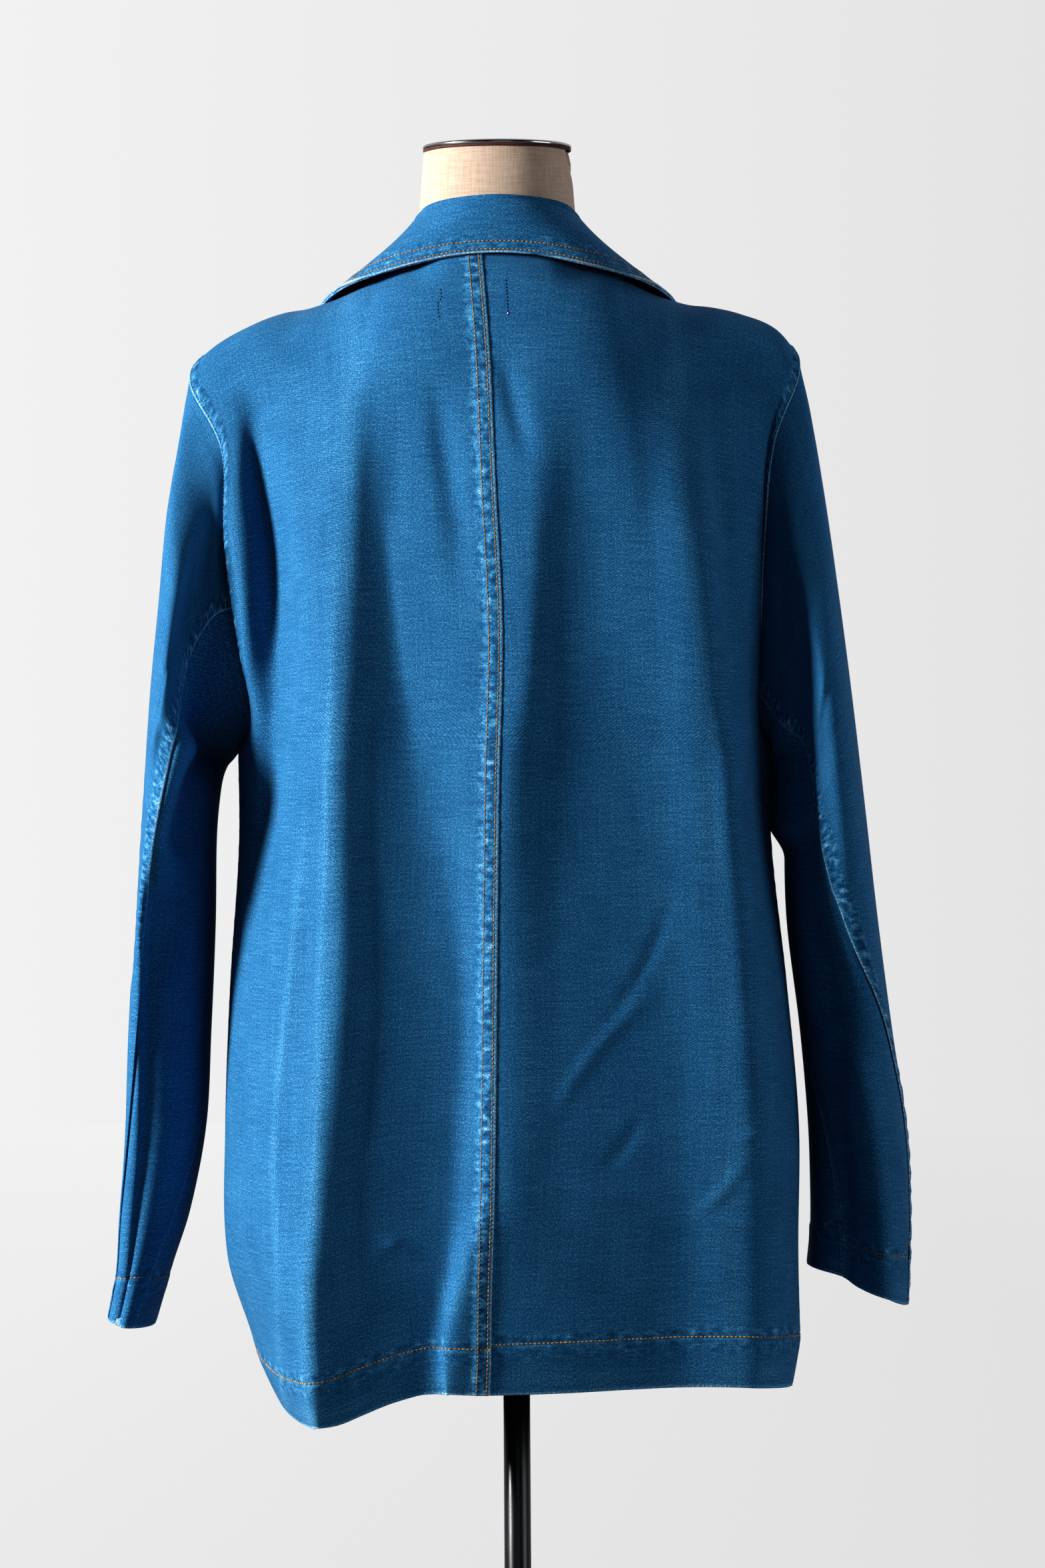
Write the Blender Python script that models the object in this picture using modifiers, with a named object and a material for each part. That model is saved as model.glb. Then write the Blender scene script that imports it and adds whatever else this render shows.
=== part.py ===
"""A denim blazer hanging on a limbless dress form.

Metres, +Z up. The origin is on the floor under the middle of the stand, and the fronts face -Y, so the
wearer's left is +X. Each cloth piece is an open sheet through sections worked out from the tables below,
thickened inwards by Solidify to one wall of cloth, and kept a seam's gap from its neighbours.
"""

import math

import bmesh
import bpy
from mathutils import Vector

MM = 0.001

# Cloth
WALL = 1.5 * MM              # two plies of denim at a seam, one and its finish elsewhere
SEAM = 0.4 * MM              # how far each piece stays back from a seam line that lies flat
RIDGE_SEAM = 1.2 * MM        # the same along the shoulder, where the two walls lean together
SLEEVE_SEAM = 1.15 * MM      # the same on the sleeves, which curve more tightly
LIFT = 0.5 * MM              # air between a panel and what lies on it

# Where the garment hangs
MIDDLE = 8 * MM              # its centre line leans this far to +X, as the form's neck does
SIDE_Y = -10 * MM            # side seams
UNDERARM = 1.071             # height of the underarm
HEM = 0.612                  # mean height of the hem

# Horizontal sections of the body below the underarm: half widths to either side, depth behind and in front
# of the side seams, and the power of the rounded-square section
BODY = (
    # height, left, right, back, front, square
    (0.560, 0.150, 0.214, 0.156, 0.152, 2.25),
    (0.600, 0.163, 0.214, 0.156, 0.152, 2.25),
    (0.650, 0.186, 0.213, 0.155, 0.152, 2.25),
    (0.710, 0.201, 0.212, 0.153, 0.152, 2.30),
    (0.800, 0.199, 0.211, 0.150, 0.151, 2.30),
    (0.900, 0.195, 0.203, 0.146, 0.152, 2.30),
    (1.000, 0.188, 0.193, 0.142, 0.153, 2.30),
    (1.071, 0.188, 0.193, 0.139, 0.156, 2.30),
    (1.120, 0.188, 0.193, 0.139, 0.156, 2.30),
)

# How far the centre-back seam wanders from the middle, towards the wearer's left
SEAM_DRIFT = (
    # height, drift
    (0.560, 0.0095),
    (0.680, 0.0090),
    (0.760, 0.0060),
    (0.900, 0.0035),
    (1.040, 0.0010),
    (1.150, -0.0020),
    (1.250, 0.0020),
    (1.350, 0.0060),
    (1.430, 0.0120),
)

DRIFT_REACH = 0.8            # share of the way to the side seam at which the pull has gone

# Neck, shoulder and armhole
NECK_OUT = 0.071             # neck point, out from the middle
NECK_Y = -0.012
NECK_BACK = 0.064            # back neck, behind the neck point
NECK_BACK_HEIGHT = 1.4205
SHOULDER_Y = -0.004          # shoulder point
SHOULDER = (
    # out from the middle, height on the left, height on the right
    (0.0600, 1.4370, 1.4370),
    (0.0710, 1.4290, 1.4290),
    (0.1000, 1.4015, 1.4015),
    (0.1300, 1.3855, 1.3865),
    (0.1500, 1.3810, 1.3830),
    (0.1700, 1.3740, 1.3785),
    (0.1970, 1.3600, 1.3675),
    (0.2135, 1.3450, 1.3480),
    (0.2250, 1.3250, 1.3250),
)
SHOULDER_OUT = 0.2135
ARMHOLE_LEFT = (
    # share of the way up from underarm to shoulder point, outward, backward on the back, forward in front
    (0.00, 0.000, 0.000, 0.000),
    (0.17, -0.016, 0.034, 0.032),
    (0.33, -0.011, 0.050, 0.047),
    (0.50, -0.007, 0.053, 0.050),
    (0.67, -0.012, 0.046, 0.044),
    (0.83, 0.007, 0.024, 0.026),
    (1.00, 0.000, 0.000, 0.000),
)
ARMHOLE_RIGHT = (
    (0.00, 0.000, 0.000, 0.000),
    (0.17, -0.014, 0.030, 0.032),
    (0.33, -0.015, 0.042, 0.047),
    (0.50, -0.016, 0.045, 0.050),
    (0.67, -0.014, 0.040, 0.044),
    (0.83, 0.001, 0.023, 0.026),
    (1.00, 0.000, 0.000, 0.000),
)
ARMHOLE_PULL = {1: 4, -1: 5}  # how sharply the panels turn into the armhole, a power of the column
NECK_SHARE = 0.34            # the share of the back's columns that end on the neck
LAP = 0.032                  # how far the fronts pass the centre line, as a share of a quarter section
LAP_STEP = 3.2 * MM          # how far the inner front lies inside the outer one
PASS_HEIGHT = 0.30           # share of the armhole height at which the two roll lines no longer cross

# Grids of the body panels: columns, rows up to the underarm, and rows up the armhole, whose corners meet
# those of the sleeves. The seam gaps are shares of a quarter section (about 250 mm) and of the last row.
BACK_GRID = (12, 7, 12)
FRONT_GRID = (11, 7, 12)
SLEEVE_GRID = (16, 8, 16)    # columns of the upper sleeve, columns of the under sleeve, rows
FLAT_SHARE = SEAM / 0.25
CENTRE_SHARE = 0.0006        # the centre of a rounded-square section opens faster than its angle
TOP_RISE = (1 - (RIDGE_SEAM / 0.14) ** 2.3) ** (1 / 2.3)    # a column's last run is 140 mm deep, power 2.3
TOP_ROW = 1 + math.acos(1 - 2 * TOP_RISE) / math.pi

# Largest folds: where each crosses the top and the bottom of its run, from -1 at the right side seam over 0
# at the centre to +1 at the left side seam, its half width in the same measure, and its depth, outwards
# positive
BACK_FOLDS = (
    # name, at top, at bottom, half width, depth, low, high
    ("puff behind the left armhole", 0.90, 0.86, 0.10, 0.010, 1.00, 1.34),
    ("deep trough beside it", 0.73, 0.66, 0.11, -0.022, 0.82, 1.38),
    ("puff behind the right armhole", -0.90, -0.88, 0.10, 0.010, 0.98, 1.36),
    ("long left ridge", 0.43, 0.52, 0.10, 0.009, 0.56, 1.36),
    ("broad left valley", 0.20, 0.17, 0.14, -0.009, 0.62, 1.22),
    ("ridge left of the seam", 0.03, 0.04, 0.06, 0.005, 0.72, 0.98),
    ("broad right valley", -0.11, -0.13, 0.12, -0.008, 0.80, 1.36),
    ("long right ridge", -0.36, -0.38, 0.10, 0.009, 0.70, 1.36),
    ("right side valley", -0.62, -0.60, 0.13, -0.012, 0.62, 1.36),
    ("right side ridge", -0.86, -0.80, 0.09, 0.008, 0.56, 1.05),
    ("hem fold beside the seam", 0.04, 0.11, 0.07, 0.012, 0.54, 0.79),
    ("hem trough left of it", 0.16, 0.24, 0.09, -0.020, 0.54, 0.82),
    ("hem flare on the left", 0.50, 0.56, 0.12, 0.010, 0.54, 0.76),
)
FRONT_FOLDS = (
    ("left chest fold", 0.62, 0.50, 0.12, -0.010, 0.80, 1.34),
    ("left front flare", 0.30, 0.36, 0.13, 0.010, 0.54, 0.95),
    ("right chest fold", -0.60, -0.52, 0.12, -0.011, 0.78, 1.33),
    ("right front flare", -0.34, -0.42, 0.14, 0.011, 0.54, 0.92),
    ("left hem trough", 0.62, 0.70, 0.11, -0.012, 0.54, 0.84),
    ("right hem trough", -0.70, -0.66, 0.10, -0.010, 0.54, 0.80),
)
HEM_DROP = (
    # across the back from the right side seam to the left one, height above the mean hem
    (-1.0, 0.000),
    (-0.5, 0.007),
    (0.0, 0.006),
    (0.25, 0.0075),
    (0.55, -0.016),
    (0.80, -0.010),
    (1.0, 0.002),
)

# Sleeves, from the armhole to the cuff: the outer and inner edge of each section seen from behind (out from
# the stand's centre plane, and height), its middle and half depth fore and aft, and where its two seams run,
# in degrees round it from the outer edge over the back
SLEEVE_LEFT = (
    # share, outer out, outer height, inner out, inner height, middle y, half depth, back seam, front seam
    (0.00, 0.2215, 1.3450, 0.1960, 1.0710, -0.004, 0.050, 120, 240),
    (0.10, 0.2298, 1.3010, 0.2010, 1.0660, -0.003, 0.060, 116, 234),
    (0.20, 0.2410, 1.2400, 0.2035, 1.0610, -0.002, 0.074, 110, 228),
    (0.30, 0.2500, 1.1700, 0.2065, 1.0550, -0.002, 0.086, 96, 222),
    (0.38, 0.2585, 1.1050, 0.2095, 1.0400, -0.003, 0.092, 82, 216),
    (0.46, 0.2650, 1.0300, 0.2125, 1.0050, -0.006, 0.092, 70, 208),
    (0.56, 0.2710, 0.9450, 0.2140, 0.9430, -0.012, 0.087, 58, 196),
    (0.66, 0.2765, 0.8650, 0.2180, 0.8680, -0.022, 0.081, 48, 180),
    (0.76, 0.2800, 0.7950, 0.2225, 0.8000, -0.033, 0.076, 40, 164),
    (0.86, 0.2850, 0.7330, 0.2350, 0.7380, -0.044, 0.071, 32, 148),
    (0.93, 0.2875, 0.6940, 0.2490, 0.6960, -0.051, 0.068, 27, 138),
    (1.00, 0.2940, 0.6600, 0.2620, 0.6540, -0.058, 0.066, 24, 130),
)
SLEEVE_RIGHT = (
    (0.00, 0.2055, 1.3480, 0.1850, 1.0710, -0.004, 0.050, 135, 240),
    (0.10, 0.2145, 1.3050, 0.1900, 1.0660, -0.003, 0.060, 138, 235),
    (0.20, 0.2250, 1.2400, 0.1930, 1.0610, -0.002, 0.073, 140, 230),
    (0.30, 0.2345, 1.1700, 0.1950, 1.0550, -0.002, 0.084, 139, 226),
    (0.38, 0.2425, 1.1050, 0.1960, 1.0400, -0.003, 0.089, 136, 222),
    (0.46, 0.2510, 1.0300, 0.1945, 1.0050, -0.006, 0.089, 120, 212),
    (0.56, 0.2605, 0.9450, 0.1960, 0.9430, -0.012, 0.084, 80, 196),
    (0.66, 0.2710, 0.8650, 0.2050, 0.8680, -0.022, 0.079, 36, 174),
    (0.76, 0.2815, 0.7950, 0.2110, 0.8000, -0.033, 0.074, 24, 150),
    (0.86, 0.2845, 0.7370, 0.2130, 0.7470, -0.044, 0.066, 18, 134),
    (0.93, 0.2840, 0.7020, 0.2130, 0.7180, -0.051, 0.062, 16, 126),
    (1.00, 0.2830, 0.6650, 0.2110, 0.6940, -0.058, 0.058, 15, 120),
)
SLEEVE_AIR = 1.2 * MM        # between the armhole and the sleeve's inside
UNDERARM_AIR = 2.1 * MM      # and as much more at the underarm, where both turn sharply
SLEEVE_FADE = 0.34           # share of the sleeve over which its section leaves the armhole's outline
LEFT_SLEEVE_FOLDS = (
    # name, angle at top, angle at bottom, half width in degrees, depth, from share, to share
    ("hollow down the back of the arm", 118, 92, 36, -0.014, 0.42, 1.02),
    ("pleat under the arm", 150, 128, 26, -0.009, 0.16, 0.50),
    ("fold at the front of the elbow", 292, 262, 30, -0.010, 0.44, 0.78),
    ("hollow over the front of the cuff", 250, 268, 28, -0.007, 0.70, 1.00),
)
RIGHT_SLEEVE_FOLDS = (
    ("hollow over the back of the cuff", 130, 104, 34, -0.014, 0.62, 1.02),
    ("pleat under the arm", 150, 132, 26, -0.008, 0.16, 0.50),
    ("fold at the front of the elbow", 286, 258, 30, -0.010, 0.46, 0.80),
    ("hollow over the front of the cuff", 248, 266, 28, -0.007, 0.70, 1.00),
)

# Collar from the centre back to the front end: where its roll and its outer edge lie, and how far the fall
# swells from a straight line, as a share of its width. The stand rises from the neckline of the panels. The
# first row mirrors the third, so that the curves run level through the centre back.
COLLAR = (
    # share, roll out, back, height, edge out, back, height, swell
    (-0.16, -0.0300, 0.0480, 1.4560, -0.0420, 0.0605, 1.4150, 0.05),
    (0.00, 0.0000, 0.0570, 1.4575, 0.0000, 0.0640, 1.4195, 0.05),
    (0.16, 0.0300, 0.0480, 1.4560, 0.0420, 0.0605, 1.4150, 0.05),
    (0.28, 0.0490, 0.0332, 1.4525, 0.0720, 0.0595, 1.4060, 0.03),
    (0.38, 0.0584, 0.0136, 1.4465, 0.0975, 0.0480, 1.3975, 0.02),
    (0.44, 0.0606, 0.0010, 1.4434, 0.1125, 0.0305, 1.4000, 0.01),
    (0.50, 0.0620, -0.0120, 1.4400, 0.1260, 0.0010, 1.3915, -0.045),
    (0.68, 0.0618, -0.0345, 1.4290, 0.1330, -0.0370, 1.3790, -0.01),
    (0.84, 0.0580, -0.0580, 1.4050, 0.1280, -0.0750, 1.3530, 0.04),
    (1.00, 0.0500, -0.0850, 1.3640, 0.1170, -0.1040, 1.3225, 0.05),
)
GORGE = 1.70                 # row of the front panel at which the collar ends and the lapel starts
SEAM_RISE = 1.5 * MM         # the stand's lower edge above the panels' neckline
COLLAR_STAND, COLLAR_FALL = 0.125, 0.5   # where the stand ends and the fall starts, as shares of the rows
ROLL_RADIUS = 2.0 * MM
COLLAR_GRID = (20, 8)
COLLAR_WALL = 1.0 * MM
COLLAR_AIR = 0.4 * MM        # each layer's distance from the middle surface
COLLAR_CLEAR = 4.7 * MM      # the middle surface's least height above the body

# Lapels, as shares of the front panel: from the break up to the notch, and out from the roll line
LAPEL_FROM = 1.30
LAPEL_TO = GORGE - 0.003
LAPEL_REACH = 0.46
NOTCH_FROM = 0.55            # share of its width at which it parts from the collar
NOTCH_DROP = 0.045           # how many rows lower its outer corner is

# Patch pockets, as shares of the front panel
POCKET_COLUMNS = (5, 10)     # grid columns and rows of the front panel that it covers
POCKET_ROWS = (1, 4)

# Buttons
BUTTON_HEIGHTS = {"top": 1.040, "middle": 0.930, "bottom": 0.820}
BUTTON_RADIUS = 11.5 * MM
BUTTON_THICK = 3.2 * MM

# Dress form and stand
FORM_GAP = 0.9 * MM          # air between the cloth's inside and the form where it rests
FORM_SHOULDER_OUT = 0.172
FORM = (
    # height, half width, back, front, square
    (0.680, 0.146, 0.104, 0.098, 2.2),
    (0.720, 0.158, 0.113, 0.104, 2.2),
    (0.800, 0.163, 0.118, 0.106, 2.2),
    (0.900, 0.150, 0.108, 0.100, 2.2),
    (0.980, 0.138, 0.098, 0.092, 2.2),
    (1.071, 0.150, 0.106, 0.104, 2.2),
    (1.120, 0.158, 0.112, 0.110, 2.2),
)
FORM_NECK = (
    # height, half width, half depth, middle y
    (1.441, 0.0556, 0.0470, 0.001),
    (1.470, 0.0555, 0.0465, 0.000),
    (1.490, 0.0535, 0.0460, -0.001),
    (1.496, 0.0520, 0.0448, -0.001),
)
FORM_NECK_OUT = 0.057        # where the neck leaves the shoulder line, out from the middle
FORM_FRONT_NECK = (0.060, 1.390)  # where the front of the neck starts: forward of the neck point, and height
CAP_THICK = 3.5 * MM
CAP_OVERHANG = 1.2 * MM
PLATE_THICK = 6 * MM
PLATE_RADIUS = 0.070
SOCKET_RADIUS = 0.022        # the socket under the plate that takes the pole
SOCKET_LENGTH = 28 * MM
POLE_RADIUS = 9.5 * MM
BASE_RADIUS = 0.165
BASE_THICK = 9 * MM
BASE_FLANGE = 0.030
GAP = 0.3 * MM

# Colours, linear, with roughness and metallic
DENIM = ((0.035, 0.137, 0.319, 1), 0.85, 0.0)
DENIM_INSIDE = ((0.105, 0.205, 0.330, 1), 0.88, 0.0)
BUTTON_HORN = ((0.030, 0.045, 0.085, 1), 0.35, 0.0)
LINEN = ((0.540, 0.400, 0.285, 1), 0.90, 0.0)
POLISHED_STEEL = ((0.620, 0.610, 0.600, 1), 0.15, 1.0)
BLACK_STEEL = ((0.012, 0.012, 0.014, 1), 0.32, 0.6)


# ---------------------------------------------------------------- tables and small maths

def between(rows, key):
    """The columns of a table at a key in its first column, on a smooth curve through its rows."""
    last = len(rows) - 1
    index = 0
    while index < last - 1 and rows[index + 1][0] < key:
        index += 1
    low, high = rows[index], rows[index + 1]
    before, after = rows[max(index - 1, 0)], rows[min(index + 2, last)]
    step = high[0] - low[0]
    share = min(max((key - low[0]) / step, 0.0), 1.0)
    values = []
    for column in range(1, len(low)):
        start, end = low[column], high[column]
        slope_in = (end - before[column]) / (high[0] - before[0]) * step
        slope_out = (after[column] - start) / (after[0] - low[0]) * step
        square, cube = share ** 2, share ** 3
        values.append((2 * cube - 3 * square + 1) * start + (cube - 2 * square + share) * slope_in
                      + (3 * square - 2 * cube) * end + (cube - square) * slope_out)
    return values


def ease(share):
    """0 to 1 with a soft start and end."""
    share = min(max(share, 0.0), 1.0)
    return share * share * (3 - 2 * share)


def mix(start, end, share):
    return start + (end - start) * share


def power(value, exponent):
    """A power that keeps the sign."""
    return math.copysign(abs(value) ** exponent, value)


def fold_depth(folds, across, height):
    """Sum of the folds at a place: each is a soft ridge or trough that fades out at both ends of its run."""
    total = 0.0
    for _, at_top, at_bottom, half_width, depth, low, high in folds:
        share = (height - low) / (high - low)
        if 0 < share < 1:
            off = (across - mix(at_bottom, at_top, share)) / half_width
            fade = ease(share / 0.25) * ease((1 - share) / 0.25)
            total += depth * fade * math.exp(-off * off * 1.4)
    return total


# ---------------------------------------------------------------- the body's surface

def section_point(side, face, across, height):
    """Outside of the body at a height; across runs from 0 at the centre line to 1 at the side seam."""
    left, right, back, front, square = between(BODY, height)
    half = left if side > 0 else right
    depth = back if face > 0 else front
    turn = across * math.pi / 2
    x = MIDDLE + side * half * power(math.sin(turn), 2 / square)
    y = SIDE_Y + face * depth * max(math.cos(turn), 0.0) ** (2 / square)
    return Vector((x, y, height))


def seam_drift(face, across, height):
    """Sideways pull of the back's centre, which fades out towards the side seams and the neck point."""
    reach = mix(DRIFT_REACH, NECK_SHARE, ease((height - 1.30) / 0.10))
    return between(SEAM_DRIFT, height)[0] * (1 - ease(abs(across) / reach)) if face > 0 else 0.0


def shoulder_height(side, out):
    left, right = between(SHOULDER, out)
    return left if side > 0 else right


def shoulder_line(side, out):
    share = (out - NECK_OUT) / (SHOULDER_OUT - NECK_OUT)
    return Vector((MIDDLE + side * out, mix(NECK_Y, SHOULDER_Y, share), shoulder_height(side, out)))


def top_point(side, face, column):
    """Where a column ends: on the back neck or the shoulder seam. On the front all end on the shoulder."""
    neck_share = NECK_SHARE if face > 0 else 0.0
    if column >= neck_share:
        share = (column - neck_share) / (1 - neck_share)
        return shoulder_line(side, mix(NECK_OUT, SHOULDER_OUT, share))
    turn = column / neck_share * math.pi / 2
    height = mix(NECK_BACK_HEIGHT, shoulder_height(side, NECK_OUT), math.sin(turn) ** 2)
    return Vector((MIDDLE + side * NECK_OUT * math.sin(turn), NECK_Y + NECK_BACK * math.cos(turn), height))


def fullness(face, column):
    """Powers of the curve that a column follows from the underarm to its top, sideways and fore and aft: 1 is
    straight. The front edge is straight seen from the front, because it is the roll line."""
    if face > 0:
        power_of_back = mix(1.75, 2.35, ease(column / NECK_SHARE))
        return power_of_back, power_of_back
    return mix(1.02, 2.30, ease(column / 0.50)), mix(1.50, 2.30, ease(column / 0.40))


def upper_point(side, face, column, rise):
    """The body above the underarm before the armhole is shaped; rise runs 0 to 1."""
    across = column if face > 0 else -LAP + (1 + LAP) * column
    start = section_point(side, face, across, UNDERARM)
    end = top_point(side, face, column)
    across_power, along_power = fullness(face, column)
    rest_across = max(1 - rise ** across_power, 0.0) ** (1 / across_power)
    rest_along = max(1 - rise ** along_power, 0.0) ** (1 / along_power)
    return Vector((mix(end.x, start.x, rest_across), mix(end.y, start.y, rest_along),
                   mix(UNDERARM, end.z, rise)))


def armhole_point(side, face, share):
    """The armhole seam line; share runs from the underarm to the shoulder point."""
    rise = (1 - math.cos(math.pi * share)) / 2
    low = section_point(side, face, 1.0, UNDERARM)
    high = shoulder_line(side, SHOULDER_OUT)
    outward, backward, forward = between(ARMHOLE_LEFT if side > 0 else ARMHOLE_RIGHT, share)
    bulge = backward if face > 0 else -forward
    return low + (high - low) * rise + Vector((side * outward, bulge, 0.0))


def hem_height(side, face, across):
    if face > 0:
        return HEM + between(HEM_DROP, side * across)[0]
    return HEM + between(HEM_DROP, side * 1.0)[0] - 0.010 * (1 - abs(across))


def body_point(side, face, column, row, inner_front=None):
    """Outside of the body. column: 0 at the centre back or front edge, 1 at the side seam or armhole.
    row: 0 at the hem, 1 at the underarm, 2 at the shoulder seam or neck. side is 1 on the wearer's left."""
    across = column if face > 0 else -LAP + (1 + LAP) * column
    if row <= 1:
        low = hem_height(side, face, across)
        point = section_point(side, face, across, mix(low, UNDERARM, row))
        fade = 1.0
    else:
        share = row - 1
        rise = (1 - math.cos(math.pi * share)) / 2
        point = upper_point(side, face, column, rise)
        hole = armhole_point(side, face, share) - upper_point(side, face, 1.0, rise)
        point += hole * column ** ARMHOLE_PULL[side]
        fade = ease((1 - rise) / 0.25)
    folds = BACK_FOLDS if face > 0 else FRONT_FOLDS
    turn = across * math.pi / 2
    outward = Vector((side * math.sin(turn), face * math.cos(turn), 0.0))
    edge = 1 - ease((column - 0.80) / 0.20) if row > 0.85 else 1.0
    edge = mix(1.0, edge, ease((row - 0.85) / 0.15))
    depth = fold_depth(folds, side * across, point.z) * fade * edge
    if inner_front:
        depth -= LAP_STEP * (1 - ease((across - 0.10) / 0.25)) * (1 - ease((row - 1 - PASS_HEIGHT) / 0.15))
    point.x += seam_drift(face, across, point.z)
    return point + outward * depth


def body_normal(side, face, column, row, inner_front=None):
    """Outward direction of the body's surface, from its neighbours a small step away."""
    step = 0.004
    column = min(max(column, step), 1 - step)
    row = min(max(row, step), 2 - step)
    along = (body_point(side, face, column + step, row, inner_front)
             - body_point(side, face, column - step, row, inner_front))
    up = (body_point(side, face, column, row + step, inner_front)
          - body_point(side, face, column, row - step, inner_front))
    return (up.cross(along) * side * face).normalized()


# ---------------------------------------------------------------- the sleeves' surface

def sleeve_rows(side):
    return SLEEVE_LEFT if side > 0 else SLEEVE_RIGHT


def sleeve_seams(side, share):
    values = between(sleeve_rows(side), share)
    return values[6], values[7]


def sleeve_ring(side, share, degrees):
    """A section of the sleeve. Degrees run from its outer edge over the back and inner edge to the front."""
    values = between(sleeve_rows(side), share)
    outer_out, outer_height, inner_out, inner_height, middle_y, half_depth = values[:6]
    outer = Vector((side * outer_out, middle_y, outer_height))
    inner = Vector((side * inner_out, middle_y, inner_height))
    turn = math.radians(degrees)
    square = mix(2.0, 2.3, ease(share / 0.3))
    across = power(math.cos(turn), 2 / square)
    aft = power(math.sin(turn), 2 / square)
    return (outer + inner) / 2 + (outer - inner) / 2 * across + Vector((0.0, half_depth * aft, 0.0))


def sleeve_point(side, share, degrees):
    """Outside of the sleeve, which starts on the armhole's line and leaves it for its own section."""
    point = sleeve_ring(side, share, degrees)
    degrees %= 360
    if share < SLEEVE_FADE:
        face = 1 if degrees <= 180 else -1
        up = 1 - degrees / 180 if face > 0 else degrees / 180 - 1
        target = armhole_point(side, face, up)
        lean = abs(math.cos(math.radians(degrees)))
        under = max(-math.cos(math.radians(degrees)), 0.0)
        target.x += side * (SLEEVE_AIR + WALL * lean + UNDERARM_AIR * under)
        point += (target - sleeve_ring(side, 0.0, degrees)) * (1 - ease(share / SLEEVE_FADE))
    folds = LEFT_SLEEVE_FOLDS if side > 0 else RIGHT_SLEEVE_FOLDS
    depth = 0.0
    for _, at_top, at_bottom, half_width, deep, start, end in folds:
        way = (share - start) / (end - start)
        if 0 < way < 1:
            off = (degrees - mix(at_top, at_bottom, way)) / half_width
            fade = ease(way / 0.3) * ease((1 - way) / 0.12)
            depth += deep * fade * math.exp(-off * off * 1.4)
    turn = math.radians(degrees)
    return point + Vector((side * math.cos(turn), math.sin(turn), 0.0)) * depth


# ---------------------------------------------------------------- the collar's surface

def on_body(side, face, out, height):
    """Where the body lies at a distance out from its middle and a height, and its outward direction there."""
    low, high = 0.0, 1.0
    for _ in range(20):
        column = (low + high) / 2
        rise = min((height - UNDERARM) / (top_point(side, face, column).z - UNDERARM), 1.0)
        row = 1 + math.acos(1 - 2 * rise) / math.pi
        if side * (body_point(side, face, column, row).x - MIDDLE) < out:
            low = column
        else:
            high = column
    return body_point(side, face, column, row), body_normal(side, face, column, row)


def collar_lines(share):
    """Neck seam, roll and outer edge at a share of the way round, and the fall's swell."""
    side = 1 if share >= 0 else -1
    way = abs(share)
    values = between(COLLAR, way)
    if way <= 0.5:
        seam = top_point(side, 1, NECK_SHARE * 2 * way)
    else:
        seam = body_point(side, -1, 0.0, mix(2.0, GORGE, 2 * way - 1))
    roll = Vector((MIDDLE + side * values[0], values[1], values[2]))
    edge = Vector((MIDDLE + side * values[3], values[4], values[5]))
    return seam + Vector((0.0, 0.0, SEAM_RISE)), roll, edge, values[6]


def collar_point(share, around):
    """The collar's middle surface. share: -1 at the right front end over 0 at the centre back to 1 at the
    left one. around: 0 at the neck seam, up the stand, over the roll and down the fall to 1 at the edge."""
    seam, roll, edge, swell = collar_lines(share)
    ahead, behind = (collar_lines(min(max(share + step, -1), 1))[1] for step in (0.02, -0.02))
    along = (ahead - behind).normalized()
    outward = along.cross(Vector((0.0, 0.0, -1.0))).normalized()
    up = along.cross(outward)
    centre = roll - up * ROLL_RADIUS
    if around <= COLLAR_STAND:
        return mix(seam, centre - outward * ROLL_RADIUS, around / COLLAR_STAND)
    if around <= COLLAR_FALL:
        turn = math.pi * (around - COLLAR_STAND) / (COLLAR_FALL - COLLAR_STAND)
        return centre + (up * math.sin(turn) - outward * math.cos(turn)) * ROLL_RADIUS
    turn = (around - COLLAR_FALL) / (1 - COLLAR_FALL)
    start = centre + outward * ROLL_RADIUS
    away = along.cross(edge - start).normalized()
    point = mix(start, edge, turn) + away * (4 * turn * (1 - turn) * swell * (edge - start).length)
    side = 1 if share >= 0 else -1
    below, outward = on_body(side, 1 if point.y > SHOULDER_Y else -1, side * (point.x - MIDDLE), point.z)
    rise = (point - below).dot(outward)
    return point + outward * max(COLLAR_CLEAR - rise, 0.0) * ease(turn / 0.3)


def collar_normal(share, around):
    """Away from the inside of the roll."""
    step = 0.01
    share = min(max(share, step - 1), 1 - step)
    around = min(max(around, step), 1 - step)
    along = collar_point(share + step, around) - collar_point(share - step, around)
    over = collar_point(share, around + step) - collar_point(share, around - step)
    return along.cross(over).normalized()


# ---------------------------------------------------------------- making objects

def clear_scene():
    for thing in list(bpy.data.objects):
        bpy.data.objects.remove(thing, do_unlink=True)
    for group in list(bpy.data.collections):
        bpy.data.collections.remove(group)
    group = bpy.data.collections.new("blazer_on_dress_form")
    bpy.context.scene.collection.children.link(group)
    return group


def make_material(name, finish):
    colour, roughness, metallic = finish
    material = bpy.data.materials.new(name)
    material.use_nodes = True
    shader = material.node_tree.nodes["Principled BSDF"]
    shader.inputs["Base Color"].default_value = colour
    shader.inputs["Roughness"].default_value = roughness
    shader.inputs["Metallic"].default_value = metallic
    return material


def add_object(name, mesh_maker, material):
    mesh = bpy.data.meshes.new(name)
    work = bmesh.new()
    mesh_maker(work)
    work.to_mesh(mesh)
    work.free()
    mesh.shade_smooth()
    thing = bpy.data.objects.new(name, mesh)
    thing.data.materials.append(material)
    PARTS.objects.link(thing)
    return thing


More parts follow.
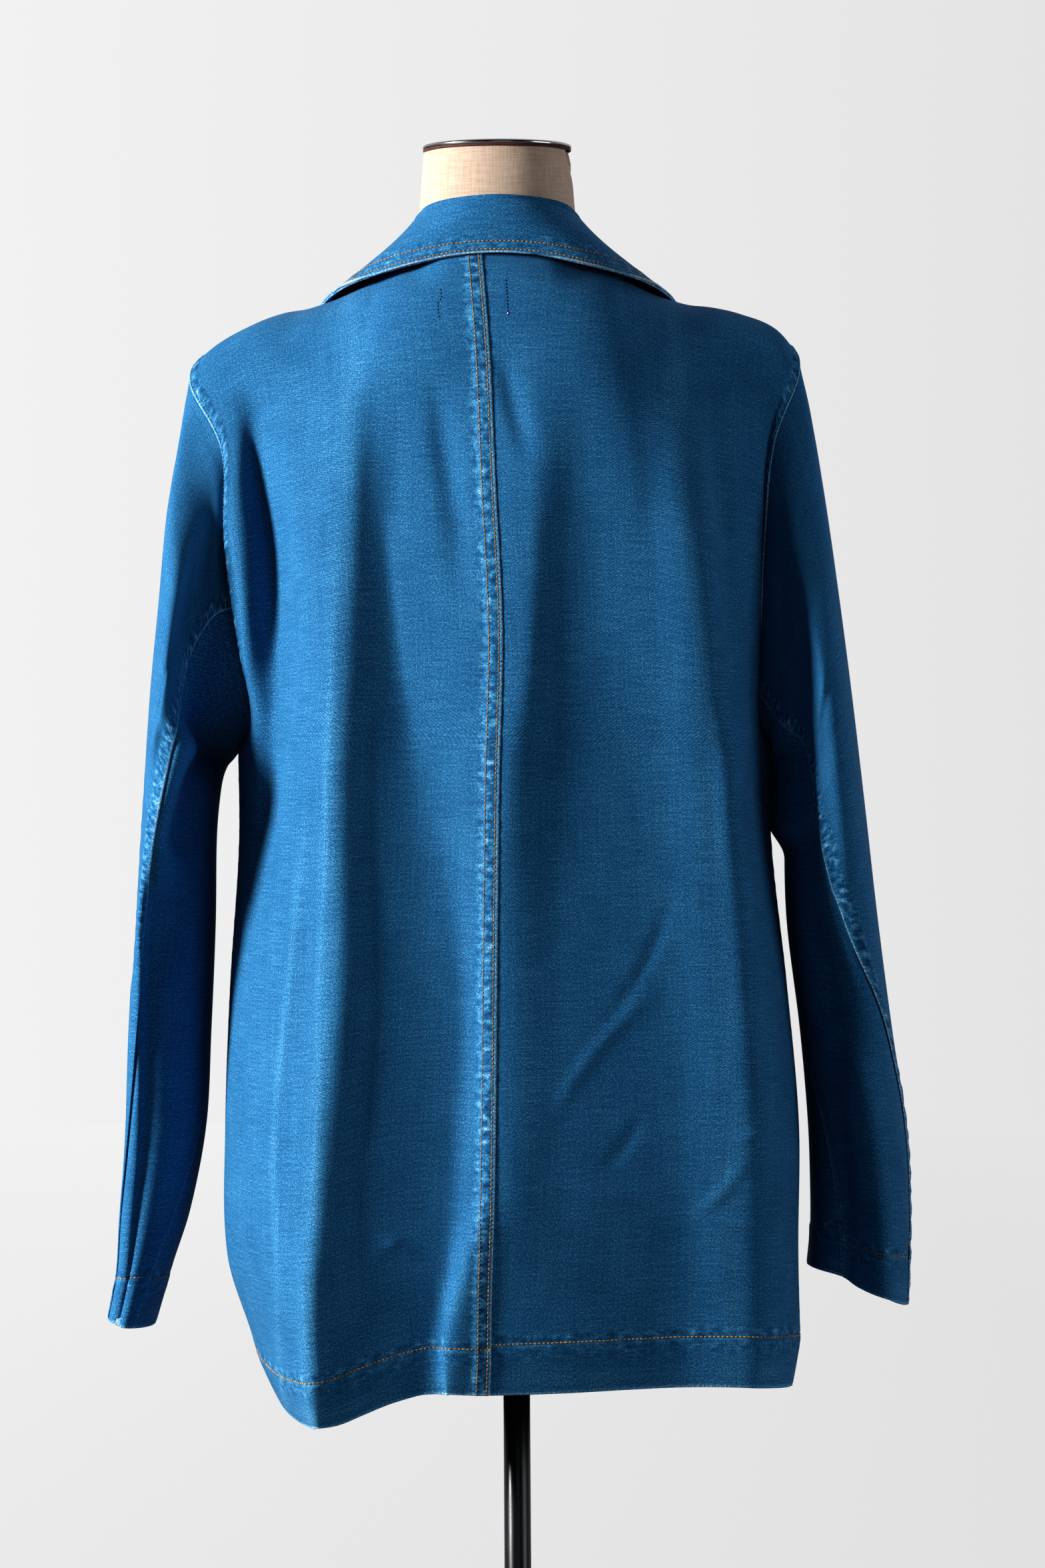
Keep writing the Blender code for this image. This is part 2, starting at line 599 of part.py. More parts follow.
def sheet(work, columns, rows, place, outward):
    """An open grid of faces whose points come from place(u, v), facing outward(u, v) at its middle."""
    points = [[work.verts.new(place(u / columns, v / rows)) for u in range(columns + 1)]
              for v in range(rows + 1)]
    for low, high in zip(points, points[1:]):
        for index in range(columns):
            work.faces.new((low[index], low[index + 1], high[index + 1], high[index]))
    work.normal_update()
    work.faces.ensure_lookup_table()
    middle = work.faces[(rows // 2) * columns + columns // 2]
    if middle.normal.dot(outward(0.5, 0.5)) < 0:
        bmesh.ops.reverse_faces(work, faces=work.faces)


def cloth(name, columns, rows, place, outward, material, wall=WALL, offset=-1.0):
    thing = add_object(name, lambda work: sheet(work, columns, rows, place, outward), material)
    solid = thing.modifiers.new("cloth wall", "SOLIDIFY")
    solid.thickness = wall
    solid.offset = offset
    solid.use_even_offset = True
    return thing


def turned(name, profile, steps, place, material):
    """A turned shape: its profile of (radius, height), from top to bottom, starts and ends on the axis."""
    mesh = bpy.data.meshes.new(name)
    work = bmesh.new()
    points = [work.verts.new((radius, 0.0, height)) for radius, height in profile]
    for start, end in zip(points, points[1:]):
        work.edges.new((start, end))
    work.to_mesh(mesh)
    work.free()
    thing = bpy.data.objects.new(name, mesh)
    thing.data.materials.append(material)
    thing.location = place
    PARTS.objects.link(thing)
    screw = thing.modifiers.new("turned", "SCREW")
    screw.steps = steps
    screw.render_steps = steps
    screw.use_merge_vertices = True
    screw.merge_threshold = 0.00005
    screw.use_smooth_shade = True
    return thing


# ---------------------------------------------------------------- the garment

def panel_row(grid, v):
    """Row of the panel's surface at a share of the grid's height."""
    _, below, above = grid
    steps = v * (below + above)
    return steps / below if steps <= below else mix(1.0, TOP_ROW, (steps - below) / above)


def body_panel(name, side, face, grid, inner_front, material):
    first = CENTRE_SHARE if face > 0 else 0.0

    def place(u, v):
        return body_point(side, face, mix(first, 1 - FLAT_SHARE, u), panel_row(grid, v), inner_front)
    cloth(name, grid[0], grid[1] + grid[2], place, panel_outward(side, face), material)


def panel_outward(side, face):
    return lambda u, v: Vector((side * 0.4, face, 0.0))


def build_body(denim):
    for side, name in ((1, "left"), (-1, "right")):
        body_panel(f"back_{name}", side, 1, BACK_GRID, False, denim)
        body_panel(f"front_{name}", side, -1, FRONT_GRID, side > 0, denim)


def build_sleeves(denim):
    for side, name in ((1, "left"), (-1, "right")):
        def gap_at(share, degrees):
            """A seam's gap as an angle, from how far the section travels in a degree there."""
            ahead, behind = (sleeve_point(side, share, degrees + step) for step in (1, -1))
            return SLEEVE_SEAM / ((ahead - behind).length / 2)

        def upper(u, v):
            back, front = sleeve_seams(side, v)
            return sleeve_point(side, v, mix(back - gap_at(v, back), front - 360 + gap_at(v, front), u))

        def under(u, v):
            back, front = sleeve_seams(side, v)
            return sleeve_point(side, v, mix(back + gap_at(v, back), front - gap_at(v, front), u))
        over, below, rows = SLEEVE_GRID
        cloth(f"sleeve_upper_{name}", over, rows, upper, lambda u, v: Vector((side, 0.0, 0.0)), denim)
        cloth(f"sleeve_under_{name}", below, rows, under, lambda u, v: Vector((-side, 0.2, 0.0)), denim)


def build_collar(denim, inside):
    for name, away, material in (("collar_upper", 1, denim), ("collar_under", -1, inside)):
        def place(u, v, away=away):
            share = mix(-1, 1, u)
            return collar_point(share, v) + collar_normal(share, v) * (COLLAR_AIR * away)
        cloth(name, *COLLAR_GRID, place, lambda u, v: Vector((0.0, 0.0, 1.0)), material,
              wall=COLLAR_WALL, offset=float(away))


def build_lapels(denim):
    for side, name in ((1, "left"), (-1, "right")):
        inner = side > 0

        def place(u, v):
            top = LAPEL_TO - NOTCH_DROP * max(0.0, (u - NOTCH_FROM) / (1 - NOTCH_FROM))
            row = mix(LAPEL_FROM, top, v)
            column = LAPEL_REACH * (0.03 + 0.97 * v) * u
            lift = LIFT * 2 + WALL
            return (body_point(side, -1, column, row, inner)
                    + body_normal(side, -1, column, row, inner) * lift)
        cloth(f"lapel_{name}", 5, 8, place, panel_outward(side, -1), denim)


def build_pockets(denim):
    for side, name in ((1, "left"), (-1, "right")):
        inner = side > 0

        def place(u, v):
            column = mix(*POCKET_COLUMNS, u) / FRONT_GRID[0] * (1 - FLAT_SHARE)
            row = mix(*POCKET_ROWS, v) / FRONT_GRID[1]
            return (body_point(side, -1, column, row, inner)
                    + body_normal(side, -1, column, row, inner) * (LIFT + WALL))
        cloth(f"pocket_{name}", POCKET_COLUMNS[1] - POCKET_COLUMNS[0], POCKET_ROWS[1] - POCKET_ROWS[0],
              place, panel_outward(side, -1), denim)


def build_buttons(horn):
    """Plain round buttons with a rim and a shallow dish, on the outer front."""
    radius, thick = BUTTON_RADIUS, BUTTON_THICK
    profile = ((0.0, thick * 0.62), (radius * 0.62, thick * 0.62), (radius * 0.76, thick),
               (radius * 0.93, thick * 0.94), (radius, thick * 0.55), (radius * 0.90, 0.0), (0.0, 0.0))
    for name, height in BUTTON_HEIGHTS.items():
        low = hem_height(-1, -1, 0.0)
        column = LAP / (1 + LAP)
        row = (height - low) / (UNDERARM - low)
        seat = body_point(-1, -1, column, row)
        away = body_normal(-1, -1, column, row)
        thing = turned(f"button_{name}", profile, 24, seat + away * (GAP * 1.5), horn)
        thing.rotation_euler = away.to_track_quat("Z", "Y").to_euler()


# ---------------------------------------------------------------- the form and its stand

def form_section(quadrant_side, face, across, height):
    half, back, front, square = between(FORM, height)
    turn = across * math.pi / 2
    depth = back if face > 0 else front
    x = MIDDLE + quadrant_side * half * power(math.sin(turn), 2 / square)
    y = SIDE_Y + face * depth * max(math.cos(turn), 0.0) ** (2 / square)
    return Vector((x, y, height))


def form_top(side, face, column):
    """Where the torso meets the neck or, further out, its shoulder line, just under the cloth."""
    drop = WALL + FORM_GAP
    if column >= NECK_SHARE:
        share = (column - NECK_SHARE) / (1 - NECK_SHARE)
        out = mix(FORM_NECK_OUT, FORM_SHOULDER_OUT, share)
        point = shoulder_line(side, out)
        point.z -= drop + 0.5 * MM * (1 - share) + 0.010 * ease((share - 0.75) / 0.25) ** 2
        return point
    turn = column / NECK_SHARE * math.pi / 2
    side_top = shoulder_height(side, FORM_NECK_OUT) - drop - 0.5 * MM
    deep, height = (NECK_BACK - 0.008, NECK_BACK_HEIGHT - 0.004) if face > 0 else FORM_FRONT_NECK
    return Vector((MIDDLE + side * FORM_NECK_OUT * math.sin(turn), NECK_Y + face * deep * math.cos(turn),
                   mix(height, side_top, math.sin(turn) ** 2)))


def form_point(side, face, column, row):
    if row <= 1:
        return form_section(side, face, column, mix(FORM[0][0], UNDERARM, row))
    rise = (1 - math.cos(math.pi * (row - 1))) / 2
    start = form_section(side, face, column, UNDERARM)
    end = form_top(side, face, column)
    full = mix(1.5, 2.1, ease(column / NECK_SHARE)) if face > 0 else mix(1.2, 1.7, ease(column))
    rest = max(1 - rise ** full, 0.0) ** (1 / full)
    point = end + (start - end) * rest
    point.z = mix(UNDERARM, end.z, rise)
    return point


def form_rings(work):
    """The torso as rings up to the shoulder line, where back and front close, and the neck as rings."""
    quarter = 12

    def ring(point_of):
        places = [point_of(1, 1, index / quarter) for index in range(quarter)]
        places += [point_of(1, -1, 1 - index / quarter) for index in range(quarter)]
        places += [point_of(-1, -1, index / quarter) for index in range(quarter)]
        places += [point_of(-1, 1, 1 - index / quarter) for index in range(quarter)]
        return [work.verts.new(place) for place in places]

    def bridge(low, high, keep=lambda index: True):
        for index in range(len(low)):
            if keep(index):
                following = (index + 1) % len(low)
                work.faces.new((low[following], low[index], high[index], high[following]))

    rows = [v / 9 for v in range(10)] + [1 + v / 8 for v in range(1, 9)]
    rings = [ring(lambda side, face, column, row=row: form_point(side, face, column, row)) for row in rows]
    for low, high in zip(rings, rings[1:]):
        bridge(low, high)

    neck_columns = round(NECK_SHARE * quarter)

    def by_neck(index):
        """True for a face whose column ends on the neck rather than the shoulder line."""
        place = index % quarter
        from_centre = place if (index // quarter) % 2 == 0 else quarter - 1 - place
        return from_centre < neck_columns

    angles = [math.atan2(vertex.co.x - MIDDLE, vertex.co.y - NECK_Y) for vertex in rings[-1]]
    below = rings[-1]
    for height, half_width, half_depth, middle_y in FORM_NECK:
        above = []
        for turn in angles:
            reach = 1 / math.hypot(math.sin(turn) / half_width, math.cos(turn) / half_depth)
            place = (MIDDLE + reach * math.sin(turn), middle_y + reach * math.cos(turn), height)
            above.append(work.verts.new(place))
        bridge(below, above, by_neck)
        below = above
    bmesh.ops.remove_doubles(work, verts=work.verts, dist=0.00005)
    loose = [vertex for vertex in work.verts if not vertex.link_faces]
    bmesh.ops.delete(work, geom=loose, context="VERTS")
    open_edges = [edge for edge in work.edges if len(edge.link_faces) == 1]
    bmesh.ops.holes_fill(work, edges=open_edges, sides=4 * quarter)
    bmesh.ops.recalc_face_normals(work, faces=work.faces)


def build_form(linen, steel, black):
    add_object("form_torso", form_rings, linen)
    top = FORM_NECK[-1]
    lean = Vector((MIDDLE, top[3], 0.0))

    def cap(work):
        """The neck's cap: an oval disc with a rounded rim."""
        bmesh.ops.create_cone(work, cap_ends=True, cap_tris=False, segments=48, radius1=1.0, radius2=1.0,
                              depth=1.0)
        rims = [edge for edge in work.edges if abs(edge.verts[0].co.z - edge.verts[1].co.z) < 0.1]
        bmesh.ops.bevel(work, geom=rims, offset=0.02, offset_type="OFFSET", segments=1, profile=0.5,
                        affect="EDGES", material=-1)
        size = (top[1] + CAP_OVERHANG, top[2] + CAP_OVERHANG, CAP_THICK)
        seat = lean + Vector((0, 0, top[0] + GAP + CAP_THICK / 2))
        bmesh.ops.scale(work, vec=size, verts=work.verts)
        bmesh.ops.translate(work, vec=seat, verts=work.verts)
    add_object("form_cap", cap, steel)

    plate_top = FORM[0][0] - GAP
    plate_under = plate_top - PLATE_THICK
    socket_under = plate_top - SOCKET_LENGTH
    turned("form_plate", ((0.0, plate_top), (PLATE_RADIUS, plate_top), (PLATE_RADIUS, plate_under),
                          (SOCKET_RADIUS * 1.35, plate_under), (SOCKET_RADIUS, socket_under),
                          (0.0, socket_under)), 40, Vector(), black)
    flange_top = BASE_THICK + BASE_FLANGE
    pole_top = socket_under - GAP
    pole_foot = flange_top + GAP
    turned("stand_pole", ((0.0, pole_top), (POLE_RADIUS, pole_top), (POLE_RADIUS, pole_foot),
                          (0.0, pole_foot)), 32, Vector(), black)
    turned("stand_base", ((0.0, flange_top), (0.017, flange_top), (0.021, flange_top - 0.004),
                          (0.024, BASE_THICK + 0.006), (0.034, BASE_THICK),
                          (BASE_RADIUS - 0.006, BASE_THICK - 0.001),
                          (BASE_RADIUS - 0.001, BASE_THICK - 0.004), (BASE_RADIUS, 0.002),
                          (BASE_RADIUS - 0.002, 0.0), (0.0, 0.0)), 48, Vector(), black)


PARTS = clear_scene()
denim = make_material("washed_denim", DENIM)
inside = make_material("denim_wrong_side", DENIM_INSIDE)
horn = make_material("button_horn", BUTTON_HORN)
linen = make_material("form_linen", LINEN)
steel = make_material("polished_steel", POLISHED_STEEL)
black = make_material("black_steel", BLACK_STEEL)
build_body(denim)
build_sleeves(denim)
build_collar(denim, inside)
build_lapels(denim)
build_pockets(denim)
build_buttons(horn)
build_form(linen, steel, black)
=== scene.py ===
# %% [markdown]
# # A denim blazer on a dress form
#
# The object is a loose blazer in washed blue denim, hanging on a linen-covered dress form with a steel neck cap
# and a black pole stand. The CAD model already gives every piece its place, so this lesson puts the finer surface
# on those pieces: folds, turned hems, lapped seams, stitches, weave and wear. Everything is in metres with +Z up,
# and the wearer's left is +X.

# %% Load the frame
import math

import bmesh
import bpy
import numpy as np
from mathutils import Matrix, Vector


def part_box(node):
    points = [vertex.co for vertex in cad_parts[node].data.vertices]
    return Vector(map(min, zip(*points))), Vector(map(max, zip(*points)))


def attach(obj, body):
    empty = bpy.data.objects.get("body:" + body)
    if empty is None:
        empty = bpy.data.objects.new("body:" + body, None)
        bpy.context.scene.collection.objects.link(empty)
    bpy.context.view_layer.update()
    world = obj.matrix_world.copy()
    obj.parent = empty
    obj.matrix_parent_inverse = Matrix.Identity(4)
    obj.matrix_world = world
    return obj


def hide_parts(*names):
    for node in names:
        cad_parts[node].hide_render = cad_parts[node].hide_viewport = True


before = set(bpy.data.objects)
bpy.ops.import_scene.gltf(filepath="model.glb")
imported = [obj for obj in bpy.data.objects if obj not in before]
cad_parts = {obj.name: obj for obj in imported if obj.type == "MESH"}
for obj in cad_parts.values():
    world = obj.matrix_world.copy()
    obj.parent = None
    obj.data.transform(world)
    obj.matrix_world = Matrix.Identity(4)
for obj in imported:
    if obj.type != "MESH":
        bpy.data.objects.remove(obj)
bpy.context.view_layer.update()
MM = 0.001

# %% [markdown]
# ## Small helpers
# Colours are written as hex values and turned to linear light by one function. One
# function adds a shader node with its settings and links, so that a material reads as a list of its layers.


# %% Colours and nodes
def colour(code):
    """A hex sRGB colour as linear RGBA."""
    parts = [int(code[start:start + 2], 16) / 255 for start in (1, 3, 5)]
    return [part / 12.92 if part < 0.04045 else ((part + 0.055) / 1.055) ** 2.4 for part in parts] + [1.0]


def node(tree, kind, settings=None, *sockets, stops=(), **named):
    """Adds a node. settings sets its options and stops a ramp's (place, hex colour) pairs. The rest fills its inputs,
    in order or by name with spaces as underscores, with a value or with another node's output."""
    made = tree.nodes.new("ShaderNode" + kind)
    for name, value in (settings or {}).items():
        setattr(made, name, value)
    for _ in stops[2:]:
        made.color_ramp.elements.new(0.5)
    for index, (place, code) in enumerate(stops):
        made.color_ramp.elements[index].position = place
        made.color_ramp.elements[index].color = colour(code)
    keys = [*range(len(sockets)), *(name.replace("_", " ") for name in named)]
    for key, value in zip(keys, [*sockets, *named.values()]):
        if isinstance(value, bpy.types.Node):
            value = value.outputs[0]
        if isinstance(value, bpy.types.NodeSocket):
            tree.links.new(value, made.inputs[key])
        else:
            made.inputs[key].default_value = value
    return made


def material(name, **sockets):
    """A new material with values on its shader's own sockets, its node tree and its shader."""
    made = bpy.data.materials.new(name)
    made.use_nodes = True
    shader = made.node_tree.nodes["Principled BSDF"]
    for socket, value in sockets.items():
        shader.inputs[socket.replace("_", " ")].default_value = value
    return made, made.node_tree, shader


def surface(tree, shader, colours, height=None, strength=0.0, depth=0.0):
    """Joins a finish's colours to its shader, and its relief, which is depth metres high."""
    tree.links.new(colours.outputs[0], shader.inputs["Base Color"])
    if height is not None:
        bump = node(tree, "Bump", Height=height, Strength=strength, Distance=depth)
        tree.links.new(bump.outputs[0], shader.inputs["Normal"])


ADD, SUBTRACT, MULTIPLY, MULTIPLY_ADD = ({"operation": name} for name in
                                         ("ADD", "SUBTRACT", "MULTIPLY", "MULTIPLY_ADD"))
print("a mid grey is", round(colour("#808080")[0], 3), "in linear light")

# %% [markdown]
# ## Washed denim
# Denim is a twill of indigo warp over undyed weft, so the blue is never flat: fine pale specks of weft, faint
# slubs across, streaks along the warp, and diagonal twill lines. Washing then takes the dye off everything that
# stands proud: folded edges, seam ridges and the crests of puckers. The cloth's own UV map is in metres, so each
# pattern's scale is its real size, and the worn places come from a vertex attribute that the modelling writes.


# %% Denim material
TWILL_ANGLE = math.radians(63)   # the diagonal of a right-hand twill
ONE_WAVE = 0.31                  # the wave texture's scale that draws one band in every unit
UNWORN = 0.42                    # place on the colour ramp of cloth that has kept its dye


def grain(tree, uv, across, along, detail=2.0, rough=0.6, shift=0.0):
    """Noise whose features are about `across` by `along` millimetres."""
    size = (1000 / across, 1000 / along, 1.0)
    placed = node(tree, "Mapping", Vector=uv, Location=(shift, shift * 0.7, 0.0), Scale=size)
    return node(tree, "TexNoise", {"noise_dimensions": "2D"}, Vector=placed, Scale=1.0, Detail=detail,
                Roughness=rough)


def denim(name, deep, mid, pale, bare, wear_gain, twill_size=1.5):
    made, tree, shader = material(name, Roughness=0.82, Sheen_Weight=0.06, Sheen_Roughness=0.5,
                                  Specular_IOR_Level=0.25)
    uv = node(tree, "UVMap", {"uv_map": "cloth"})
    speck = grain(tree, uv, 1.1, 1.5, detail=3.0, rough=0.75)
    slub = grain(tree, uv, 26.0, 1.0, shift=3.0)
    streak = grain(tree, uv, 1.6, 60.0, detail=1.5, shift=7.0)
    mottle = grain(tree, uv, 38.0, 46.0, detail=3.0, shift=11.0)
    tilt = node(tree, "Mapping", Vector=uv, Rotation=(0.0, 0.0, TWILL_ANGLE), Scale=(1000 / twill_size,) * 3)
    twill = node(tree, "TexWave", {"wave_type": "BANDS", "bands_direction": "X"}, Vector=tilt, Scale=ONE_WAVE,
                 Distortion=1.2, Detail=1.0).outputs["Fac"]
    tone = node(tree, "Math", MULTIPLY_ADD, speck, 1.10, -0.55)
    for pattern, strength in ((slub, 0.30), (streak, 0.14), (mottle, 0.14), (twill, 0.12)):
        tone = node(tree, "Math", MULTIPLY_ADD, node(tree, "Math", SUBTRACT, pattern, 0.5), strength, tone)
    rope = node(tree, "Attribute", {"attribute_name": "roping"}).outputs["Fac"]
    knots = node(tree, "Math", SUBTRACT, grain(tree, uv, 6.5, 5.0, detail=1.0, shift=5.0), 0.5)
    knots = node(tree, "Math", MULTIPLY, knots, rope)
    tone = node(tree, "Math", MULTIPLY_ADD, knots, 1.5, tone)
    wear = node(tree, "Attribute", {"attribute_name": "wear"}).outputs["Fac"]
    patchy = node(tree, "Math", MULTIPLY, wear, node(tree, "Math", MULTIPLY_ADD, speck, 1.1, 0.45))
    tone = node(tree, "Math", MULTIPLY_ADD, patchy, wear_gain, node(tree, "Math", ADD, tone, UNWORN))
    colours = node(tree, "ValToRGB", None, tone, stops=((0.0, deep), (UNWORN, mid), (0.80, pale), (1.0, bare)))
    height = node(tree, "Math", MULTIPLY_ADD, twill, 0.5, node(tree, "Math", MULTIPLY, speck, 0.9))
    surface(tree, shader, colours, node(tree, "Math", MULTIPLY_ADD, knots, 4.5, height), 0.35, 0.25 * MM)
    return made


DENIM = denim("washed_indigo_denim", "#0f3f60", "#256a96", "#62a6cc", "#cfe0e8", 0.60)
WRONG_SIDE = denim("denim_wrong_side", "#4c7292", "#7f9fb8", "#b5c9d6", "#dfe8ee", 0.3)
print("denim", len(DENIM.node_tree.nodes), "nodes")

# %% [markdown]
# ## Thread, horn, linen, steel and lacquer
# Topstitching is a thick two-ply thread, so its colour runs in short diagonal stripes. Buttons are dyed horn, the
# form is covered in plain-woven linen whose threads show as a fine grid, the cap is polished steel with fine
# turning marks, and the stand is satin black powder coat on steel tube.


# %% Thread and linen
LINEN_PITCH = 1.1                # mm between threads, drawn a little coarser than real so that it shows


def thread(name, dark, light):
    made, tree, shader = material(name, Roughness=0.62, Sheen_Weight=0.2)
    place = node(tree, "TexCoord").outputs["Object"]
    ply = node(tree, "TexWave", {"wave_type": "BANDS", "bands_direction": "DIAGONAL"}, Vector=place, Scale=900.0,
               Distortion=2.0).outputs["Fac"]
    age = node(tree, "TexNoise", Vector=place, Scale=160.0, Detail=2.0)
    tone = node(tree, "Math", MULTIPLY_ADD, age, 1.1, node(tree, "Math", MULTIPLY_ADD, ply, 0.3, -0.25))
    colours = node(tree, "ValToRGB", None, tone, stops=((0.15, dark), (0.8, light)))
    surface(tree, shader, colours, ply, 0.4, 0.1 * MM)
    return made


def linen(name):
    made, tree, shader = material(name, Roughness=0.9)
    uv = node(tree, "UVMap", {"uv_map": "cloth"})
    threads = []
    for turn in (0.0, math.pi / 2):
        placed = node(tree, "Mapping", Vector=uv, Rotation=(0.0, 0.0, turn), Scale=(1000 / LINEN_PITCH,) * 3)
        threads.append(node(tree, "TexWave", {"wave_type": "BANDS"}, Vector=placed, Scale=ONE_WAVE, Distortion=0.9,
                            Detail=1.0).outputs["Fac"])
    weave = node(tree, "Math", MULTIPLY, *threads)
    thick = node(tree, "Math", ADD, grain(tree, uv, 22.0, 1.3), grain(tree, uv, 1.3, 22.0, shift=5.0))
    tone = node(tree, "Math", MULTIPLY_ADD, weave, 0.30, node(tree, "Math", MULTIPLY, thick, 0.42))
    colours = node(tree, "ValToRGB", None, tone, stops=((0.15, "#a38a74"), (0.45, "#ccb4a0"), (0.85, "#dccaba")))
    surface(tree, shader, colours, weave, 0.5, 0.3 * MM)
    return made


print("threads and linen are described")


# %% Steel, lacquer and horn
def metal(name, dark, light, roughness, marks, metallic=1.0):
    """Steel or its coating. marks squeezes the pattern, so turning marks run round the part."""
    made, tree, shader = material(name, Metallic=metallic)
    place = node(tree, "TexCoord").outputs["Object"]
    noise = node(tree, "TexNoise", Vector=node(tree, "Mapping", Vector=place, Scale=marks), Scale=40.0, Detail=3.0)
    uneven = node(tree, "Math", MULTIPLY_ADD, noise, roughness, roughness * 0.5)
    tree.links.new(uneven.outputs[0], shader.inputs["Roughness"])
    surface(tree, shader, node(tree, "ValToRGB", None, noise, stops=((0.2, dark), (0.8, light))))
    return made


def horn(name):
    made, tree, shader = material(name, Roughness=0.35, Coat_Weight=0.3)
    place = node(tree, "TexCoord").outputs["Object"]
    swirl = node(tree, "TexNoise", Vector=place, Scale=220.0, Detail=4.0, Distortion=1.5)
    colours = node(tree, "ValToRGB", None, swirl, stops=((0.3, "#10192b"), (0.5, "#22334f"), (0.75, "#5a6c84")))
    surface(tree, shader, colours)
    return made


TOPSTITCH = thread("tan_topstitch_thread", "#714a20", "#d6a765")
DARK_THREAD_AND_HOLE_SHADE = thread("indigo_thread_and_hole_shade", "#04101f", "#12304f")
# Dark indigo thread for seams and tacking; the same material paints the shade in the buttons' holes.
TACK = thread("white_tack_thread", "#aeb6bd", "#f4f5f5")
LINEN = linen("woven_linen")
PIPING = thread("madder_piping_cord", "#3a1712", "#6d3226")
STEEL = metal("polished_steel", "#a9a5a0", "#d9d6d2", 0.20, (1, 1, 20))
BLACK = metal("black_powder_coat", "#0f1013", "#1b1d21", 0.30, (1, 1, 1), 0.0)
HORN = horn("dyed_horn")
print("materials", len(bpy.data.materials))

# %% [markdown]
# ## The garment's tables
# The same tables shape the CAD solids: sections of the body, the shoulder line, the armholes, the sleeves and the
# collar. They are repeated here in metres, because the finer surface follows the same form.

# %% Body and shoulders
MIDDLE, SIDE_Y, UNDERARM, HEM = 8 * MM, -10 * MM, 1.071, 0.612
BODY = (
    # height, left half width, right half width, depth behind, depth in front, power of the rounded square
    (0.560, 0.150, 0.214, 0.156, 0.152, 2.25),
    (0.600, 0.167, 0.212, 0.156, 0.152, 2.25),
    (0.650, 0.180, 0.211, 0.155, 0.152, 2.25),
    (0.710, 0.198, 0.210, 0.153, 0.152, 2.30),
    (0.800, 0.199, 0.211, 0.150, 0.151, 2.30),
    (0.900, 0.195, 0.203, 0.146, 0.152, 2.30),
    (1.000, 0.188, 0.193, 0.142, 0.153, 2.30),
    (1.071, 0.188, 0.193, 0.139, 0.156, 2.30),
    (1.120, 0.188, 0.193, 0.139, 0.156, 2.30),
)
# height, and how far the centre-back seam strays to the left
SEAM_DRIFT = ((0.560, 0.0095), (0.680, 0.0090), (0.760, 0.0060), (0.900, 0.0035), (1.040, 0.0010),
              (1.150, -0.0020), (1.250, 0.0020), (1.350, 0.0060), (1.430, 0.0120))
DRIFT_REACH = 0.8              # share of the back's width over which the seam's drift fades out
NECK_SHARE = 0.34              # share of the back's width that ends on the neck
LAP, LAP_STEP, PASS_HEIGHT = 0.032, 3.2 * MM, 0.30     # the fronts' overlap: its width, step and top
NECK_OUT, NECK_Y, NECK_BACK, NECK_BACK_HEIGHT = 0.071, -0.012, 0.064, 1.4205
SHOULDER_Y, SHOULDER_OUT = -0.004, 0.2135
SHOULDER = (
    # out from the middle, height on the left, height on the right
    (0.0600, 1.4270, 1.4270),
    (0.0710, 1.4180, 1.4180),
    (0.1000, 1.3960, 1.3960),
    (0.1300, 1.3845, 1.3855),
    (0.1500, 1.3810, 1.3830),
    (0.1700, 1.3740, 1.3785),
    (0.1970, 1.3600, 1.3675),
    (0.2135, 1.3450, 1.3480),
    (0.2250, 1.3250, 1.3250),
)
ARMHOLE_LEFT = (
    # share of the way up, outward, backward on the back, forward in front
    (0.00, 0.000, 0.000, 0.000),
    (0.17, -0.016, 0.040, 0.032),
    (0.33, -0.011, 0.061, 0.047),
    (0.50, -0.007, 0.066, 0.050),
    (0.67, -0.012, 0.057, 0.044),
    (0.83, 0.007, 0.030, 0.026),
    (1.00, 0.000, 0.000, 0.000),
)
ARMHOLE_RIGHT = (
    (0.00, 0.000, 0.000, 0.000),
    (0.17, -0.014, 0.030, 0.032),
    (0.33, -0.015, 0.042, 0.047),
    (0.50, -0.016, 0.045, 0.050),
    (0.67, -0.014, 0.040, 0.044),
    (0.83, 0.001, 0.023, 0.026),
    (1.00, 0.000, 0.000, 0.000),
)
# share of the way from the middle to the side, left positive, and the hem's height above its level
HEM_DROP = ((-1.0, 0.000), (-0.5, 0.007), (0.0, 0.006), (0.12, 0.0075), (0.22, 0.002), (0.45, -0.015),
            (0.66, -0.016), (0.82, -0.009), (1.0, 0.002))
print("body rows", len(BODY), "and shoulder rows", len(SHOULDER))

# %% Sleeves' sections
SLEEVE_LEFT = (
    # share, outer out, outer height, inner out, inner height, middle y, half depth, back seam, front seam
    (0.00, 0.2215, 1.3450, 0.1960, 1.0710, -0.004, 0.050, 107, 240),
    (0.10, 0.2298, 1.3010, 0.2010, 1.0660, -0.003, 0.060, 101, 234),
    (0.20, 0.2410, 1.2400, 0.2035, 1.0610, -0.002, 0.074, 103, 228),
    (0.30, 0.2500, 1.1700, 0.2065, 1.0550, -0.002, 0.086, 110, 222),
    (0.38, 0.2585, 1.1050, 0.2095, 1.0400, -0.003, 0.092, 107, 216),
    (0.46, 0.2650, 1.0300, 0.2125, 1.0050, -0.006, 0.092, 100, 208),
    (0.56, 0.2710, 0.9450, 0.2140, 0.9430, -0.012, 0.087, 88, 196),
    (0.66, 0.2765, 0.8650, 0.2180, 0.8680, -0.022, 0.081, 66, 180),
    (0.76, 0.2800, 0.7950, 0.2225, 0.8000, -0.033, 0.076, 48, 164),
    (0.86, 0.2850, 0.7330, 0.2350, 0.7380, -0.044, 0.071, 35, 148),
    (0.93, 0.2875, 0.6940, 0.2490, 0.6960, -0.051, 0.068, 28, 138),
    (1.00, 0.2940, 0.6600, 0.2620, 0.6540, -0.058, 0.066, 24, 130),
)
